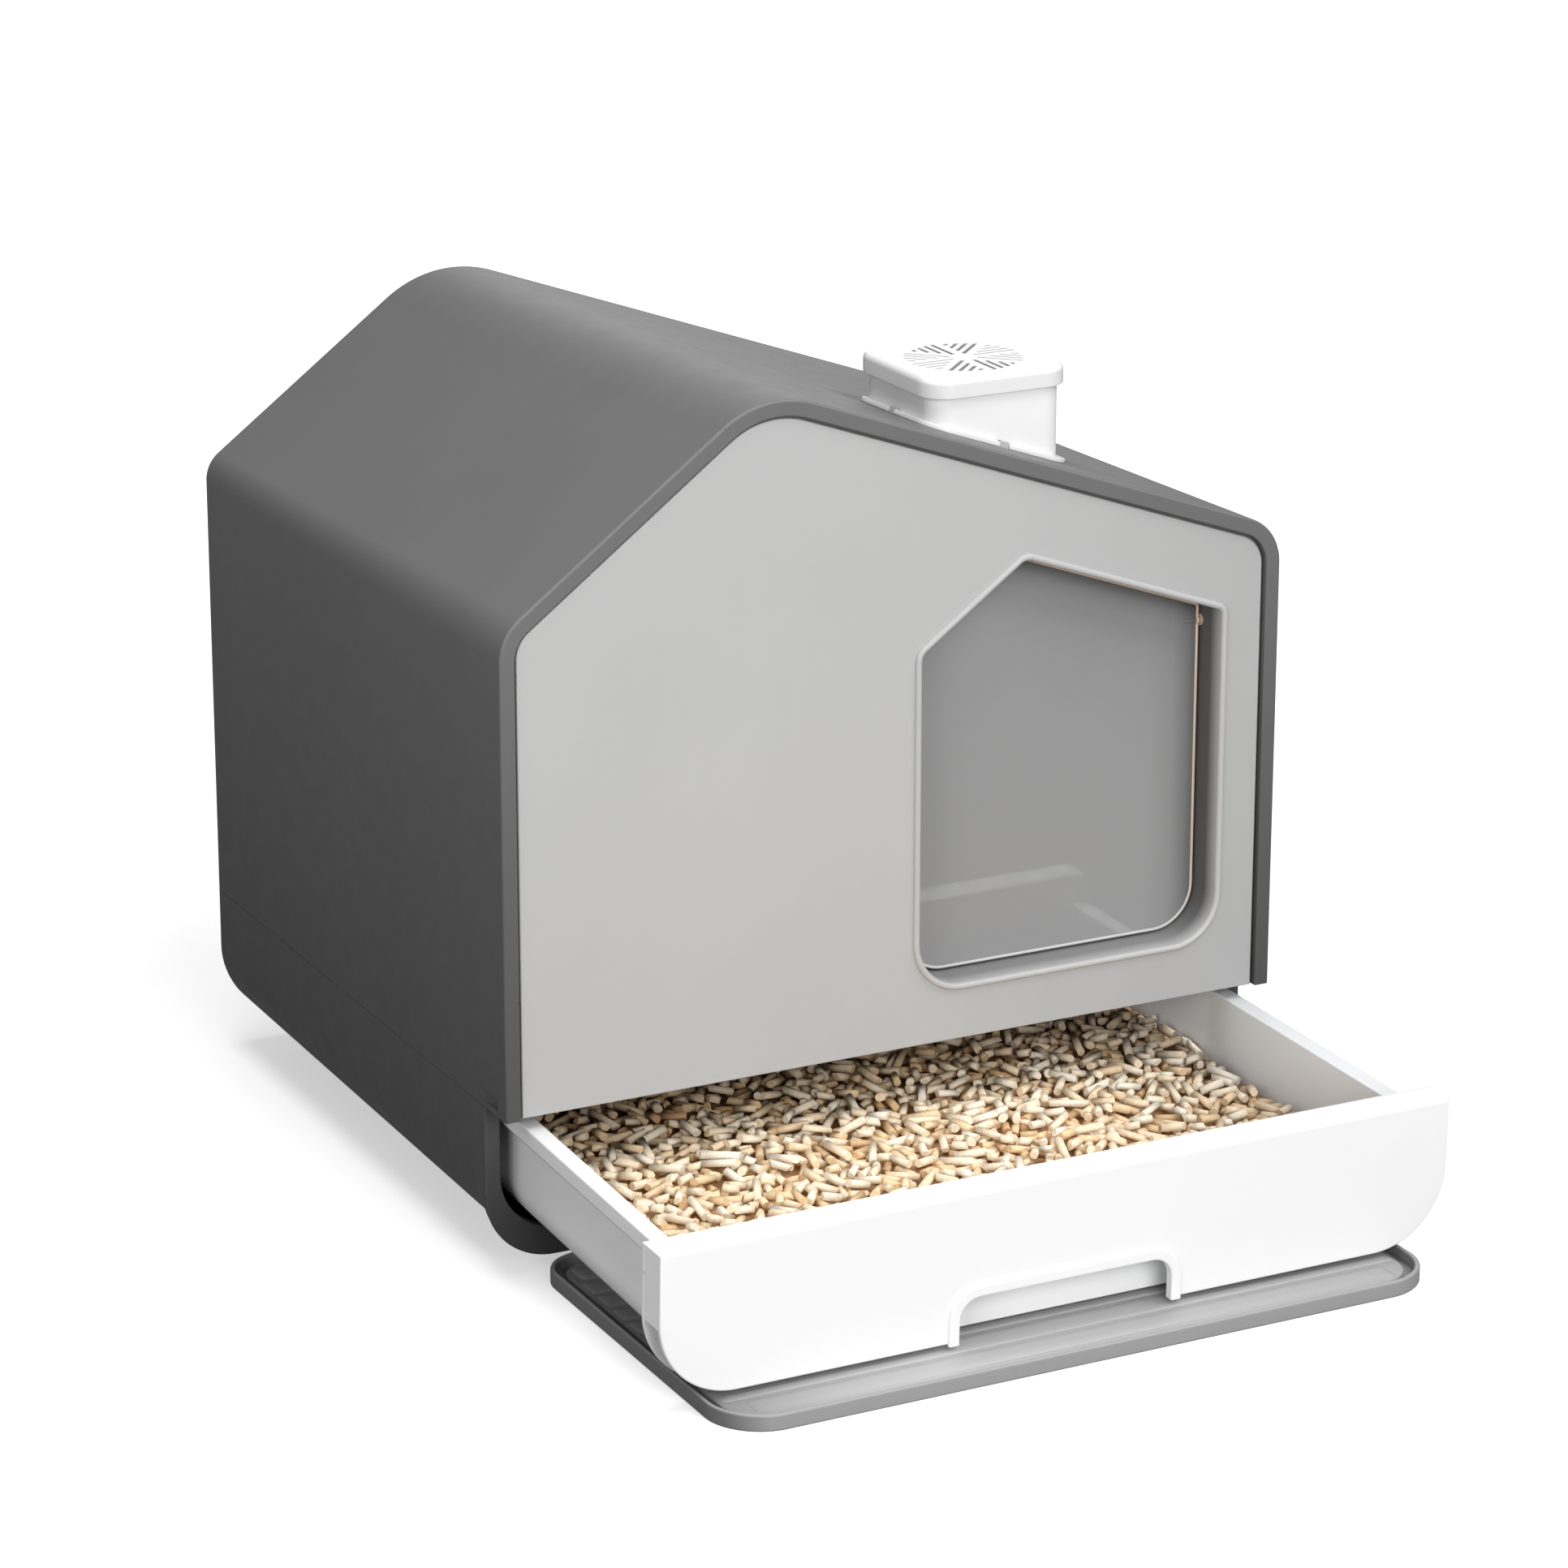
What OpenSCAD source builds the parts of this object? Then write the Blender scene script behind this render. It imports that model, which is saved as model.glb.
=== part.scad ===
// Covered litter box in the shape of a small house, with a pull-out litter drawer.
// X runs to the right, Y to the back and Z up. The sizes below are measured from the
// hood's front face (Y) and its lower edge (Z); place() then moves the whole object so
// that the origin is on the floor under its middle.

/* [Hood] */
// Width of the hood at its front
hood_w = 470; // [440:1:500]
// Depth of the hood from front to back
hood_depth = 424; // [400:1:470]
// Height of the straight side walls up to the eaves
eave_h = 264.8; // [250:0.1:290]
// Height of the ridge before it is rounded
ridge_h = 378; // [360:1:400]
// Distance of the ridge to the left of the middle
ridge_left = 82.4; // [65:0.1:95]
// How far each side draws in from the front to the back
draw_in = 9; // [6:0.5:12]
// How far the two roof slopes come down from the front to the back
roof_draw = 11; // [6:0.5:14]
// Rounding of the two eaves at the front
eave_r = 28.5; // [22:0.5:34]
// Rounding of the ridge at the front
ridge_r = 57; // [40:1:70]
// Rounding of the ridge at the back
ridge_back_r = 71; // [50:1:80]
// Rounding of the edge around the back wall
back_r = 4; // [3.5:0.5:8]
// Thickness of the hood's walls
hood_wall = 3; // [2.4:0.1:3.6]
// Width of the rim around the hood's mouth
rim_w = 8.75; // [7:0.25:10]
// Length of the finger pocket low on each side of the hood
pocket_l = 22; // [16:1:26]
// Height of the finger pocket
pocket_h = 7; // [5:0.5:9]
// Depth of the finger pocket at its front end
pocket_d = 3.2; // [2:0.2:4]
// Distance of the finger pocket behind the hood's front face
pocket_back = 11; // [9:0.5:14]

/* [Front panel] */
// Gap between the panel and the hood's rim
panel_gap = 1.75; // [1:0.25:2.5]
// How far the panel lies behind the rim's front face
panel_recess = 2.2; // [1:0.1:3]
// Thickness of the panel
panel_t = 3; // [2.4:0.1:3.6]
// Width of the seat behind the panel's edge
seat_w = 6; // [5:0.5:8]
// Thickness of the seat
seat_t = 3; // [2.4:0.1:4]
// Radius of the push rivets' shanks
rivet_r = 1.4; // [1.2:0.1:1.6]

/* [Entrance] */
// Place of the entrance's left side, right of the middle
entry_left = 10.6; // [0:0.1:20]
// Place of the entrance's right side
entry_right = 200.6; // [190:0.1:204]
// Height of the entrance's sill
entry_sill = 30.9; // [24:0.1:45]
// Height of the entrance's left shoulder
entry_left_h = 222.1; // [205:0.1:226]
// Height of the entrance's right shoulder
entry_right_h = 223; // [210:0.1:225]
// Height of the entrance's peak
entry_peak_h = 268.5; // [255:0.1:275]
// Distance of the peak from the left side
entry_peak_in = 64.3; // [55:0.1:80]
// Rounding of the entrance's two lower corners
entry_low_r = 28; // [20:1:36]
// Rounding of the peak and the left shoulder
entry_peak_r = 9; // [6:1:12]
// Rounding of the right shoulder
entry_corner_r = 5.5; // [4:0.5:8]
// Width of the raised bead around the entrance
bead_w = 3.2; // [2.6:0.1:4]
// How far the bead stands out from the panel
bead_rise = 1.8; // [1.2:0.1:2.6]
// Depth of the tunnel behind the panel's face
tunnel_depth = 28; // [26:1:34]
// Thickness of the tunnel's wall
tunnel_wall = 2.4; // [2:0.1:3]

/* [Flap] */
// Distance of the flap's middle behind the panel's face
flap_back = 21.8; // [18:0.2:22.4]
// Thickness of the clear sheet
flap_t = 2; // [1.6:0.1:2.4]
// Gap between the flap and the tunnel
flap_gap = 1.5; // [1.2:0.1:2.2]
// Width of the trim around the flap
flap_trim_w = 1.3; // [1:0.1:1.8]
// Distance of the hinge axis below the lower shoulder
hinge_drop = 11; // [9:0.5:16]
// Radius of the hinge pins
pin_r = 1.2; // [1:0.1:1.5]
// Running clearance of the pins in their bores
pin_fit = 0.05; // [0.02:0.01:0.1]
// Radius of the flap's knuckles
knuckle_r = 2.7; // [2.4:0.1:3]
// Length of the flap's knuckles
knuckle_l = 9; // [6:1:14]

/* [Base] */
// Depth of the base below the hood's lower edge, at the front
base_h = 92.7; // [88:0.1:100]
// How far the base's front lies behind the hood's front
base_setback = 29; // [26:0.5:36]
// Rounding of the base's two lower corners at its front
base_r = 40.4; // [36:0.1:44]
// Rounding of the base's two lower edges just behind its front
base_body_r = 54.5; // [50:0.5:60]
// Rounding of the base's two lower edges at the back
base_back_r = 49; // [44:0.5:54]
// Length over which the base's front passes into its body
base_blend = 16; // [12:1:24]
// Thickness of the base's walls
base_wall = 3; // [2.4:0.1:3.6]
// Width of the lip at the base's front
lip_w = 9; // [8.6:0.1:10]
// Height of the lip at the bottom of the base's front
lip_floor = 15.8; // [13:0.1:16.4]
// Depth of the lip from front to back
lip_depth = 8; // [6:0.5:12]
// Width of the flange along the base's top edge
flange_w = 6; // [5.6:0.1:6.6]
// Height of the tongue that locates the hood
tongue_h = 5; // [3:0.5:8]
// Gap between the base and the hood resting on it
seat_gap = 0.3; // [0.2:0.1:0.5]
// Height of the base's front edge above the floor
foot_h = 6.6; // [6.2:0.1:12]
// Radius of the feet's pads
foot_r = 12; // [8:0.5:16]
// Thickness of the feet's pads
foot_pad_t = 3; // [2:0.5:4]
// Distance of the feet from the middle
foot_x = 150; // [120:1:160]
// Width of the runners
runner_w = 14; // [8:1:20]
// Distance of the runners from the middle
runner_x = 110; // [80:1:140]

/* [Drawer] */
// How far the drawer stands out
drawer_open = 182; // [150:1:186]
// Downward pitch of the drawer and its runners, in degrees
drawer_pitch = 2; // [1:0.1:2.4]
// Depth of the tub's rim below the hood's lower edge, at the drawer's front
rim_drop = 13.8; // [13:0.1:16]
// Thickness of the drawer front's walls
fascia_t = 2.6; // [2:0.1:3.2]
// Depth of the drawer front from face to back
fascia_depth = 21.3; // [18:0.1:24]
// Height of the drawer front above the tub's rim
fascia_up = 6.3; // [5:0.1:6.6]
// Height of the drawer front's lower edge above the base's lower edge
fascia_lift = 3.6; // [3.1:0.1:6.9]
// Rounding of the drawer front's two lower corners
fascia_r = 44; // [36:1:50]
// How far the drawer front's side walls reach below the tub's rim
side_wall_down = 34.6; // [24:0.1:36]
// Thickness of the tub's front wall
front_wall_t = 2.7; // [2.2:0.1:3.2]
// How far the tub's front wall reaches below the drawer front's lower edge
front_wall_extra = 1.2; // [0.4:0.1:1.6]
// Height of the bar along the tub's back
guard_h = 18; // [10:0.5:20]
// Depth of the bar along the tub's back
guard_d = 19; // [12:0.5:22]
// Gap between the tub's rim and the base's lip on each side
rim_gap = 1.5; // [1:0.1:6]
// Length of the tub behind the drawer front
tub_l = 351; // [320:1:356]
// Height of the tub's underside above the base's lower edge, at the drawer's front
tub_lift = 11.7; // [10.9:0.1:18.9]
// Width of the tub's rim
tub_rim_w = 10.3; // [8:0.1:12]
// Height of the band below the tub's rim
band_h = 9.8; // [7:0.1:14]
// Thickness of the tub's walls
tub_wall = 4; // [3:0.1:5]
// Rounding along the tub's two lower edges
tub_r = 23; // [16:1:30]
// Thickness of the tub's floor, rim and band
tub_floor = 3; // [2.4:0.1:3.6]
// Depth of the litter's surface below the rim
litter_down = 35; // [25:0.5:45]
// Width of the handle's opening
handle_w = 127; // [100:1:150]
// Height of the handle's opening above the drawer front's lower edge
handle_h = 24.4; // [20:0.1:32]
// Rounding of the handle's two upper corners
handle_r = 12; // [8:1:16]
// Width of the trim around the handle
handle_trim_w = 6.1; // [4:0.1:8]
// How far the handle's trim stands out
handle_rise = 2; // [1:0.1:3]

/* [Filter box] */
// Place of the filter box right of the middle
filter_x = 83; // [70:0.5:95]
// Distance of the filter box behind the hood's front
filter_y = 86.5; // [82:0.5:110]
// Height of the lid's top above the roof, at the box's middle
lid_rise = 41.8; // [37.4:0.1:47.4]
// Width of the lid
lid_w = 88; // [82:0.5:92]
// Depth of the lid
lid_d = 89; // [84:0.5:94]
// Height of the lid
lid_h = 10.6; // [9:0.1:13]
// Rounding of the lid's corners, seen from above
lid_r = 16; // [13:0.5:19]
// Thickness of the lid's skin
lid_t = 2.5; // [2:0.1:3]
// Gap between the lid and the box
lid_gap = 1; // [0.4:0.1:1.4]
// How far the box reaches down from the roof's surface, at the box's middle
box_under = 17.8; // [14.8:0.1:22.8]
// Thickness of the box's walls
box_t = 2.2; // [1.8:0.1:2.8]
// How far the box's flange stands out around it
box_flange = 4.4; // [4:0.1:6]
// Thickness of the flange
box_flange_t = 2.4; // [2:0.1:3]
// Radius of the grille
grille_r = 32.8; // [30:0.2:34]
// Width of the grille's slots
slot_w = 1.9; // [1.4:0.1:2.2]
// Distance between neighbouring slots
slot_pitch = 4.95; // [4.6:0.05:5.2]
// Distance of the first slot of each group from the line through the middle
slot_first = 2; // [1.6:0.1:2.6]
// How far the slots stay off the next group's border
slot_clear = 5.4; // [4:0.1:7]
// Thickness of the carbon pad
pad_t = 12; // [8:0.5:16]

/* [Catch tray] */
// Width of the tray at its front
tray_w = 424.8; // [400:0.1:428]
// How much narrower the tray is at its back
tray_taper = 8; // [0:0.1:14]
// Depth of the tray from front to back
tray_d = 238; // [224:0.5:244]
// Gap between the tray and the base's front
tray_gap = 6; // [4:0.1:12]
// Height of the tray's rim
tray_h = 9; // [8:0.1:9.4]
// Thickness of the tray's rim
tray_rim = 3; // [2:0.1:4]
// Thickness of the tray's floor
tray_floor = 2.2; // [1.8:0.1:3]
// Rounding of the tray's front corners
tray_front_r = 31.5; // [24:0.5:40]
// Rounding of the tray's back corners
tray_back_r = 24; // [16:0.5:40]
// Width of the channel inside the rim
tray_channel = 5.5; // [4:0.1:9]
// Height of the ribs' tops above the tray's floor
rib_top = 4.4; // [3.4:0.1:4.8]
// Height of the ribs on the inlay
rib_h = 1; // [0.6:0.1:1.6]
// Distance between the ribs
rib_pitch = 19.4; // [14:0.1:26]

/* [Hidden] */

cut = 1;             // how far a cutter reaches past the face that it cuts
slice = 0.2;         // thickness of the end sections that a lofted shell is stretched over
arc_steps = 8;       // facets of a rounded corner
fine = 64;           // facets of a small round feature
fit_gap = 0.2;       // clearance between pieces that are assembled once
pad_gap = 0.3;       // clearance around soft and loose contents
charcoal = [0.30, 0.30, 0.31];
pale_grey = [0.74, 0.74, 0.74];
mid_grey = [0.56, 0.56, 0.57];
white = [0.95, 0.95, 0.95];

floor_z = -base_h + draw_in * base_setback / hood_depth - foot_h;
panel_back = panel_recess + panel_t;
seat_back = panel_back + seat_t;
pocket_z = rim_w / 3;
tub_w = hood_w - 2 * (lip_w + rim_gap);
tub_h = base_h - rim_drop - tub_lift;
fascia_down = base_h - rim_drop - fascia_lift;
tray_back_y = base_setback - tray_gap;
tray_front_y = tray_back_y - tray_d;
middle_y = (hood_depth + tray_front_y) / 2;

// ---- outlines ----

function unit(v) = v / norm(v);

// Moves each edge of a closed convex outline inwards; edge i starts at point i, anticlockwise
function inset(pts, by) = [for (i = [0 : len(pts) - 1])
    let (n = len(pts), here = pts[i], before = by[(i + n - 1) % n], after = by[i],
         e1 = unit(here - pts[(i + n - 1) % n]), e2 = unit(pts[(i + 1) % n] - here),
         n1 = [-e1.y, e1.x], n2 = [-e2.y, e2.x], c = n1 * n2)
    here + (n1 * (before - after * c) + n2 * (after - before * c)) / (1 - c * c)];

// Points of the arc that rounds the corner b between a and c
function corner_arc(a, b, c, r) =
    let (u = unit(a - b), w = unit(c - b), half = acos(u * w) / 2,
         centre = b + unit(u + w) * r / sin(half),
         p = b + u * r / tan(half) - centre, q = b + w * r / tan(half) - centre,
         start = atan2(p.y, p.x), turn = (atan2(q.y, q.x) - start + 540) % 360 - 180)
    [for (i = [0 : arc_steps]) centre
        + r * [cos(start + turn * i / arc_steps), sin(start + turn * i / arc_steps)]];

function rounded(pts, radii) = [for (i = [0 : len(pts) - 1])
    let (n = len(pts), a = pts[(i + n - 1) % n], c = pts[(i + 1) % n])
    each (radii[i] > 0 ? corner_arc(a, pts[i], c, radii[i]) : [pts[i]])];

// Part of the hood's full draw that applies at a distance behind its front
function drawn(y) = y / hood_depth;

// The house-shaped section of the hood at a distance y, moved inwards by extra
function house(y, extra, low = 0) =
    let (t = drawn(y), side = draw_in * t + extra, roof = roof_draw * t + extra, h = hood_w / 2,
         pts = [[-h, low], [h, low], [h, eave_h], [-ridge_left, ridge_h], [-h, eave_h]],
         eave = max(eave_r - side, 1), ridge = max(ridge_r + (ridge_back_r - ridge_r) * t - extra, 1))
    rounded(inset(pts, [0, side, roof, roof, side]), [0, 0, eave, ridge, eave]);

// The trough-shaped section of the base at a distance y, moved inwards by side and under
function trough(y, side, under, top, r) =
    let (d = draw_in * drawn(y), h = hood_w / 2,
         pts = [[-h, -base_h], [h, -base_h], [h, top], [-h, top]])
    rounded(inset(pts, [d + under, d + side, 0, d + side]), [r, r, 0, 0]);

// The entrance's outline along the middle of its bead, moved inwards by d
function entry(d) =
    let (pts = [[entry_left, entry_sill], [entry_right, entry_sill], [entry_right, entry_right_h],
                [entry_left + entry_peak_in, entry_peak_h], [entry_left, entry_left_h]],
         radii = [entry_low_r, entry_low_r, entry_corner_r, entry_peak_r, entry_peak_r])
    rounded(inset(pts, [d, d, d, d, d]), [for (r = radii) max(r - d, 0.8)]);

// The drawer front's outline, in the drawer's own frame
function fascia(d, down) =
    let (h = hood_w / 2, pts = [[-h, -down], [h, -down], [h, fascia_up], [-h, fascia_up]])
    rounded(inset(pts, [d, d, d, d]), [fascia_r - d, fascia_r - d, 0, 0]);

// The handle opening's outline, open at the bottom
function handle(d) =
    let (h = handle_w / 2, top = handle_h - fascia_down, low = -fascia_down - 2 * cut,
         pts = [[-h, low], [h, low], [h, top], [-h, top]])
    rounded(inset(pts, [0, d, d, d]), [0, 0, handle_r - d, handle_r - d]);

// The tub's section at a distance y behind the drawer's face
function tub_draw(y) = draw_in * (y - fascia_depth) / hood_depth;
function tub_section(y, side, under, top, r) =
    let (h = tub_w / 2 - tub_draw(y) - side)
    rounded([[-h, -tub_h + under], [h, -tub_h + under], [h, top], [-h, top]], [r, r, 0, 0]);

// The tub's outline seen from above, between two distances behind the drawer's face
function tub_plan(y0, y1, side) =
    let (h0 = tub_w / 2 - tub_draw(y0) - side, h1 = tub_w / 2 - tub_draw(y1) - side)
    [[-h0, y0], [h0, y0], [h1, y1], [-h1, y1]];

function tray_plan(d) =
    let (h = tray_w / 2, b = h - tray_taper / 2,
         pts = [[-h, tray_front_y], [h, tray_front_y], [b, tray_back_y], [-b, tray_back_y]])
    rounded(inset(pts, [d, d, d, d]), [for (r = [tray_front_r, tray_front_r, tray_back_r, tray_back_r])
        max(r - d, 1)]);

// ---- shared shapes ----

// Moves the finished object from the hood's own frame to its origin on the floor
module place() { translate([0, -middle_y, -floor_z]) children(); }

// Stands a flat outline upright across the object, from y over a length l
module upright(y, l) { translate([0, y + l, 0]) rotate([90, 0, 0]) linear_extrude(l) children(); }

// The drawer's own frame: origin at its face, on the plane of the tub's rim
module in_drawer() {
    translate([0, -drawer_open, -rim_drop]) rotate([drawer_pitch, 0, 0]) children();
}

// Distances and extra insets that round a shell's back edge by r
function back_sections(y0, y1, r, extra) = concat([[y0, extra]],
    [for (a = [0 : 30 : 90]) [y1 - slice - r * (1 - sin(a)), extra + r * (1 - cos(a))]]);

module house_loft(y0, y1, r, extra, low) {
    hull() for (s = back_sections(y0, y1, r, extra)) upright(s[0], slice) polygon(house(s[0], s[1], low));
}

// Rounding of the body's lower edges at a distance behind the hood's front, moved inwards by extra
function body_r(y, extra) =
    max(base_body_r + (base_back_r - base_body_r) * (y - base_body_y) / (hood_depth - base_body_y) - extra, 1);

module trough_loft(y0, y1, r, extra, top) {
    hull() for (s = back_sections(y0, y1, r, extra))
        upright(s[0], slice) polygon(trough(s[0], s[1], s[1], top, body_r(s[0], s[1])));
}

module tub_loft(y0, y1, side, under, top, r) {
    hull() for (y = [y0, y1 - slice]) upright(y, slice) polygon(tub_section(y, side, under, top, r));
}

// A rod along X from x0 to x1
module rod_x(x0, x1, r) { translate([x0, 0, 0]) rotate([0, 90, 0]) cylinder(r = r, h = x1 - x0, $fn = fine); }

rivet_head = 1.9;    // radius of a push rivet's head over its shank's

// A push rivet along Y: shank from y0 to y1, then its head
module rivet(y0, y1, r) {
    translate([0, y1, 0]) rotate([90, 0, 0]) cylinder(r = r, h = y1 - y0, $fn = fine);
    translate([0, y1 + r, 0]) rotate([90, 0, 0]) cylinder(r = rivet_head * r, h = r, $fn = fine);
}
module rivet_hole(y0, y1, r) {
    translate([0, y1, 0]) rotate([90, 0, 0]) cylinder(r = r, h = y1 - y0, $fn = fine);
}

// ---- hood and front panel ----

// Middle line of the seat, and the places of the rivets along it
seat_line = inset([[-hood_w / 2, 0], [hood_w / 2, 0], [hood_w / 2, eave_h], [-ridge_left, ridge_h],
    [-hood_w / 2, eave_h]], [0, 1, 1, 1, 1] * (rim_w + seat_w / 2));
function between(a, b, t) = a + (b - a) * t;
panel_rivet_at = [for (e = [[1, 2, 0.25], [1, 2, 0.75], [2, 3, 0.25], [2, 3, 0.65], [3, 4, 0.55],
    [4, 0, 0.25], [4, 0, 0.75]]) between(seat_line[e[0]], seat_line[e[1]], e[2])];

// The finger pocket: deep at its front end, running out towards the back
module pocket() {
    for (s = [-1, 1]) translate([0, 0, pocket_z]) linear_extrude(pocket_h)
        polygon([[s * (hood_w / 2 + cut), pocket_back], [s * (hood_w / 2 - pocket_d), pocket_back],
            [s * (hood_w / 2 - draw_in * drawn(pocket_back + pocket_l)), pocket_back + pocket_l],
            [s * (hood_w / 2 + cut), pocket_back + pocket_l]]);
}

// Thicker wall behind the finger pocket
module pocket_pad() {
    for (s = [-1, 1]) linear_extrude(pocket_z + pocket_h + hood_wall)
        polygon([[s * (hood_w / 2 - hood_wall / 2), seat_back - cut], [s * (hood_w / 2 - rim_w), seat_back - cut],
            [s * (hood_w / 2 - rim_w), pocket_back + pocket_l / 2],
            [s * (hood_w / 2 - hood_wall), pocket_back + pocket_l],
            [s * (hood_w / 2 - hood_wall / 2), pocket_back + pocket_l]]);
}

module hood_shell() {
    color(charcoal) difference() {
        union() {
            difference() {
                house_loft(0, hood_depth, back_r, 0, 0);
                house_loft(seat_back, hood_depth - hood_wall, back_r - hood_wall, hood_wall, -cut);
            }
            pocket_pad();
        }
        upright(-cut, cut + panel_back) polygon(house(0, rim_w, -cut));
        upright(panel_back - cut, cut + seat_t + slice) polygon(house(0, rim_w + seat_w, -cut));
        pocket();
        for (p = panel_rivet_at) translate([p.x, 0, p.y])
            rivet_hole(panel_back - cut, seat_back + cut, rivet_r + fit_gap);
        filter_column(box_w + 2 * fit_gap, box_d + 2 * fit_gap, box_r + fit_gap, eave_h, ridge_h + cut);
        clip_gaps(-clip_out, clip_t / 2 + fit_gap, -3 * hood_wall, cut);
    }
}

module front_panel() {
    edge = rim_w + panel_gap;
    color(pale_grey) difference() {
        upright(panel_recess, panel_t) polygon(house(0, edge, 0.2));
        upright(panel_recess - cut, panel_t + 2 * cut) polygon(entry(-(tunnel_out + fit_gap)));
        for (p = panel_rivet_at) translate([p.x, 0, p.y])
            rivet_hole(panel_recess + panel_t / 3, panel_back + cut, rivet_r + pin_fit);
    }
}

module panel_rivets() {
    color(charcoal) for (p = panel_rivet_at) translate([p.x, 0, p.y])
        rivet(panel_recess + panel_t / 3 + pin_fit, seat_back, rivet_r);
}

// ---- entrance and flap ----

tunnel_in = bead_w / 2;
tunnel_out = tunnel_wall - tunnel_in;
tunnel_end = panel_recess + tunnel_depth;
flap_y = panel_recess + flap_back;
hinge_z = min(entry_left_h, entry_right_h) - hinge_drop;
flap_edge = tunnel_in + flap_gap;
boss_r = knuckle_r + 1.2;
boss_l = 3;
trim_proud = 0.4;    // how far the flap's trim stands out from each face of the sheet

// Repeats its children, which point to the left, on the right side as well
module both_hinges() {
    translate([entry_left, flap_y, hinge_z]) children();
    translate([entry_right, flap_y, hinge_z]) mirror([1, 0, 0]) children();
}

module entrance_frame() {
    color(pale_grey) difference() {
        union() {
            upright(panel_recess - bead_rise, bead_rise) polygon(entry(-bead_w / 2));
            upright(panel_recess, tunnel_depth) polygon(entry(-tunnel_out));
            both_hinges() rod_x(-tunnel_out - boss_l, 0, boss_r);
        }
        upright(-cut, tunnel_end + 2 * cut) polygon(entry(tunnel_in));
        both_hinges() rod_x(-tunnel_out - boss_l - cut, tunnel_in + cut, pin_r + pin_fit);
    }
}

module knuckles(r, grow) {
    both_hinges() rod_x(flap_edge + fit_gap - grow, flap_edge + knuckle_l + grow, r + grow);
}

module flap_trim() {
    trim_t = flap_t + 2 * trim_proud;
    color(pale_grey) difference() {
        union() {
            upright(flap_y - trim_t / 2, trim_t) difference() {
                polygon(entry(flap_edge));
                polygon(entry(flap_edge + flap_trim_w));
            }
            knuckles(knuckle_r, 0);
        }
        both_hinges() rod_x(flap_edge - cut, flap_edge + knuckle_l + cut, pin_r + pin_fit);
    }
}

module flap_sheet() {
    color([0.35, 0.35, 0.36, 0.55]) difference() {
        upright(flap_y - flap_t / 2, flap_t) polygon(entry(flap_edge + flap_trim_w));
        knuckles(knuckle_r, pin_fit);
    }
}

module flap_pins() {
    color([0.60, 0.47, 0.36])
        both_hinges() rod_x(-tunnel_out - boss_l + pin_fit, flap_edge + knuckle_l - pin_fit, pin_r);
}

// ---- base ----

lip_back = base_setback + lip_depth;
base_body_y = base_setback + base_blend;
foot_front = 8;  // distance of the front feet's edges behind the lip
foot_back = 22;  // distance of the back feet's edges in front of the back's rounding
foot_wall = 2;   // wall of the base around each foot's pad
foot_y = [lip_back + foot_r + foot_front, hood_depth - back_r - foot_r - foot_back];
function under_z(y) = -base_h + draw_in * drawn(y);

module base_shell() {
    tongue = hood_wall + 2 * fit_gap;
    tongue_back = hood_depth - hood_wall;
    color(charcoal) difference() {
        union() {
            hull() {
                upright(base_setback, slice) polygon(trough(base_setback, 0, 0, -seat_gap, base_r));
                upright(base_body_y, slice)
                    polygon(trough(base_body_y, 0, 0, -seat_gap, body_r(base_body_y, 0)));
            }
            trough_loft(base_body_y, hood_depth, back_r, 0, -seat_gap);
            difference() {
                trough_loft(base_body_y, tongue_back - fit_gap, 0, tongue, tongue_h);
                translate([-hood_w / 2, 0, -base_h - cut]) cube([hood_w, hood_depth, base_h - cut - base_wall]);
            }
            for (x = [-foot_x, foot_x], y = foot_y) translate([x, y, floor_z + foot_pad_t])
                cylinder(r = foot_r + foot_wall, h = under_z(y) - floor_z - foot_pad_t + base_wall / 2, $fn = fine);
        }
        // the mouth inside the lip, the space below the flange, and the space between the tongue's sides
        upright(base_setback - cut, lip_depth + 2 * cut)
            polygon(trough(base_setback, lip_w, lip_floor, tongue_h + cut, base_r - flange_w));
        intersection() {
            trough_loft(lip_back, hood_depth - base_wall, back_r - base_wall, base_wall, tongue_h);
            translate([-hood_w / 2, 0, -base_h - cut]) cube([hood_w, hood_depth, base_h + cut - flange_w]);
        }
        trough_loft(lip_back, hood_depth - flange_w, 0, flange_w, tongue_h + cut);
    }
}

module feet() {
    color([0.15, 0.15, 0.15]) for (x = [-foot_x, foot_x], y = foot_y) translate([x, y, floor_z])
        cylinder(r = foot_r, h = foot_pad_t, $fn = fine);
}

// Height of the drawer's underside at a distance y behind the hood's front
function tub_under(y) = -rim_drop + (y + drawer_open) * tan(drawer_pitch) - tub_h / cos(drawer_pitch);

// A strip on the base's floor that carries the tub along its sloping underside
module runner(x) {
    y0 = lip_back;
    y1 = hood_depth - back_r - 2 * foot_r;
    color(charcoal) translate([x - runner_w / 2, 0, 0]) rotate([90, 0, 90]) linear_extrude(runner_w)
        polygon([[y0, under_z(y0) + base_wall], [y1, under_z(y1) + base_wall],
            [y1, tub_under(y1) - pad_gap], [y0, tub_under(y0) - pad_gap]]);
}
module left_runner() { runner(-runner_x); }
module right_runner() { runner(runner_x); }

// ---- drawer ----

tub_back = fascia_depth + tub_l;
tub_edge = tub_rim_w - tub_wall;
front_wall_y = fascia_depth - front_wall_t;
drawer_rivet_r = 2;
rivet_share = 0.24;  // distance between the drawer's rivets over the hood's width
trim_below = 0.7;    // how far the handle's trim reaches below the drawer front
trim_behind = 1;     // how far the handle's trim reaches behind the drawer front's face wall
drawer_rivet_at = [for (k = [-1.5 : 1.5]) [k * hood_w * rivet_share, -tub_rim_w - drawer_rivet_r]];
stop_h = 5;
stop_w = 24;

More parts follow.
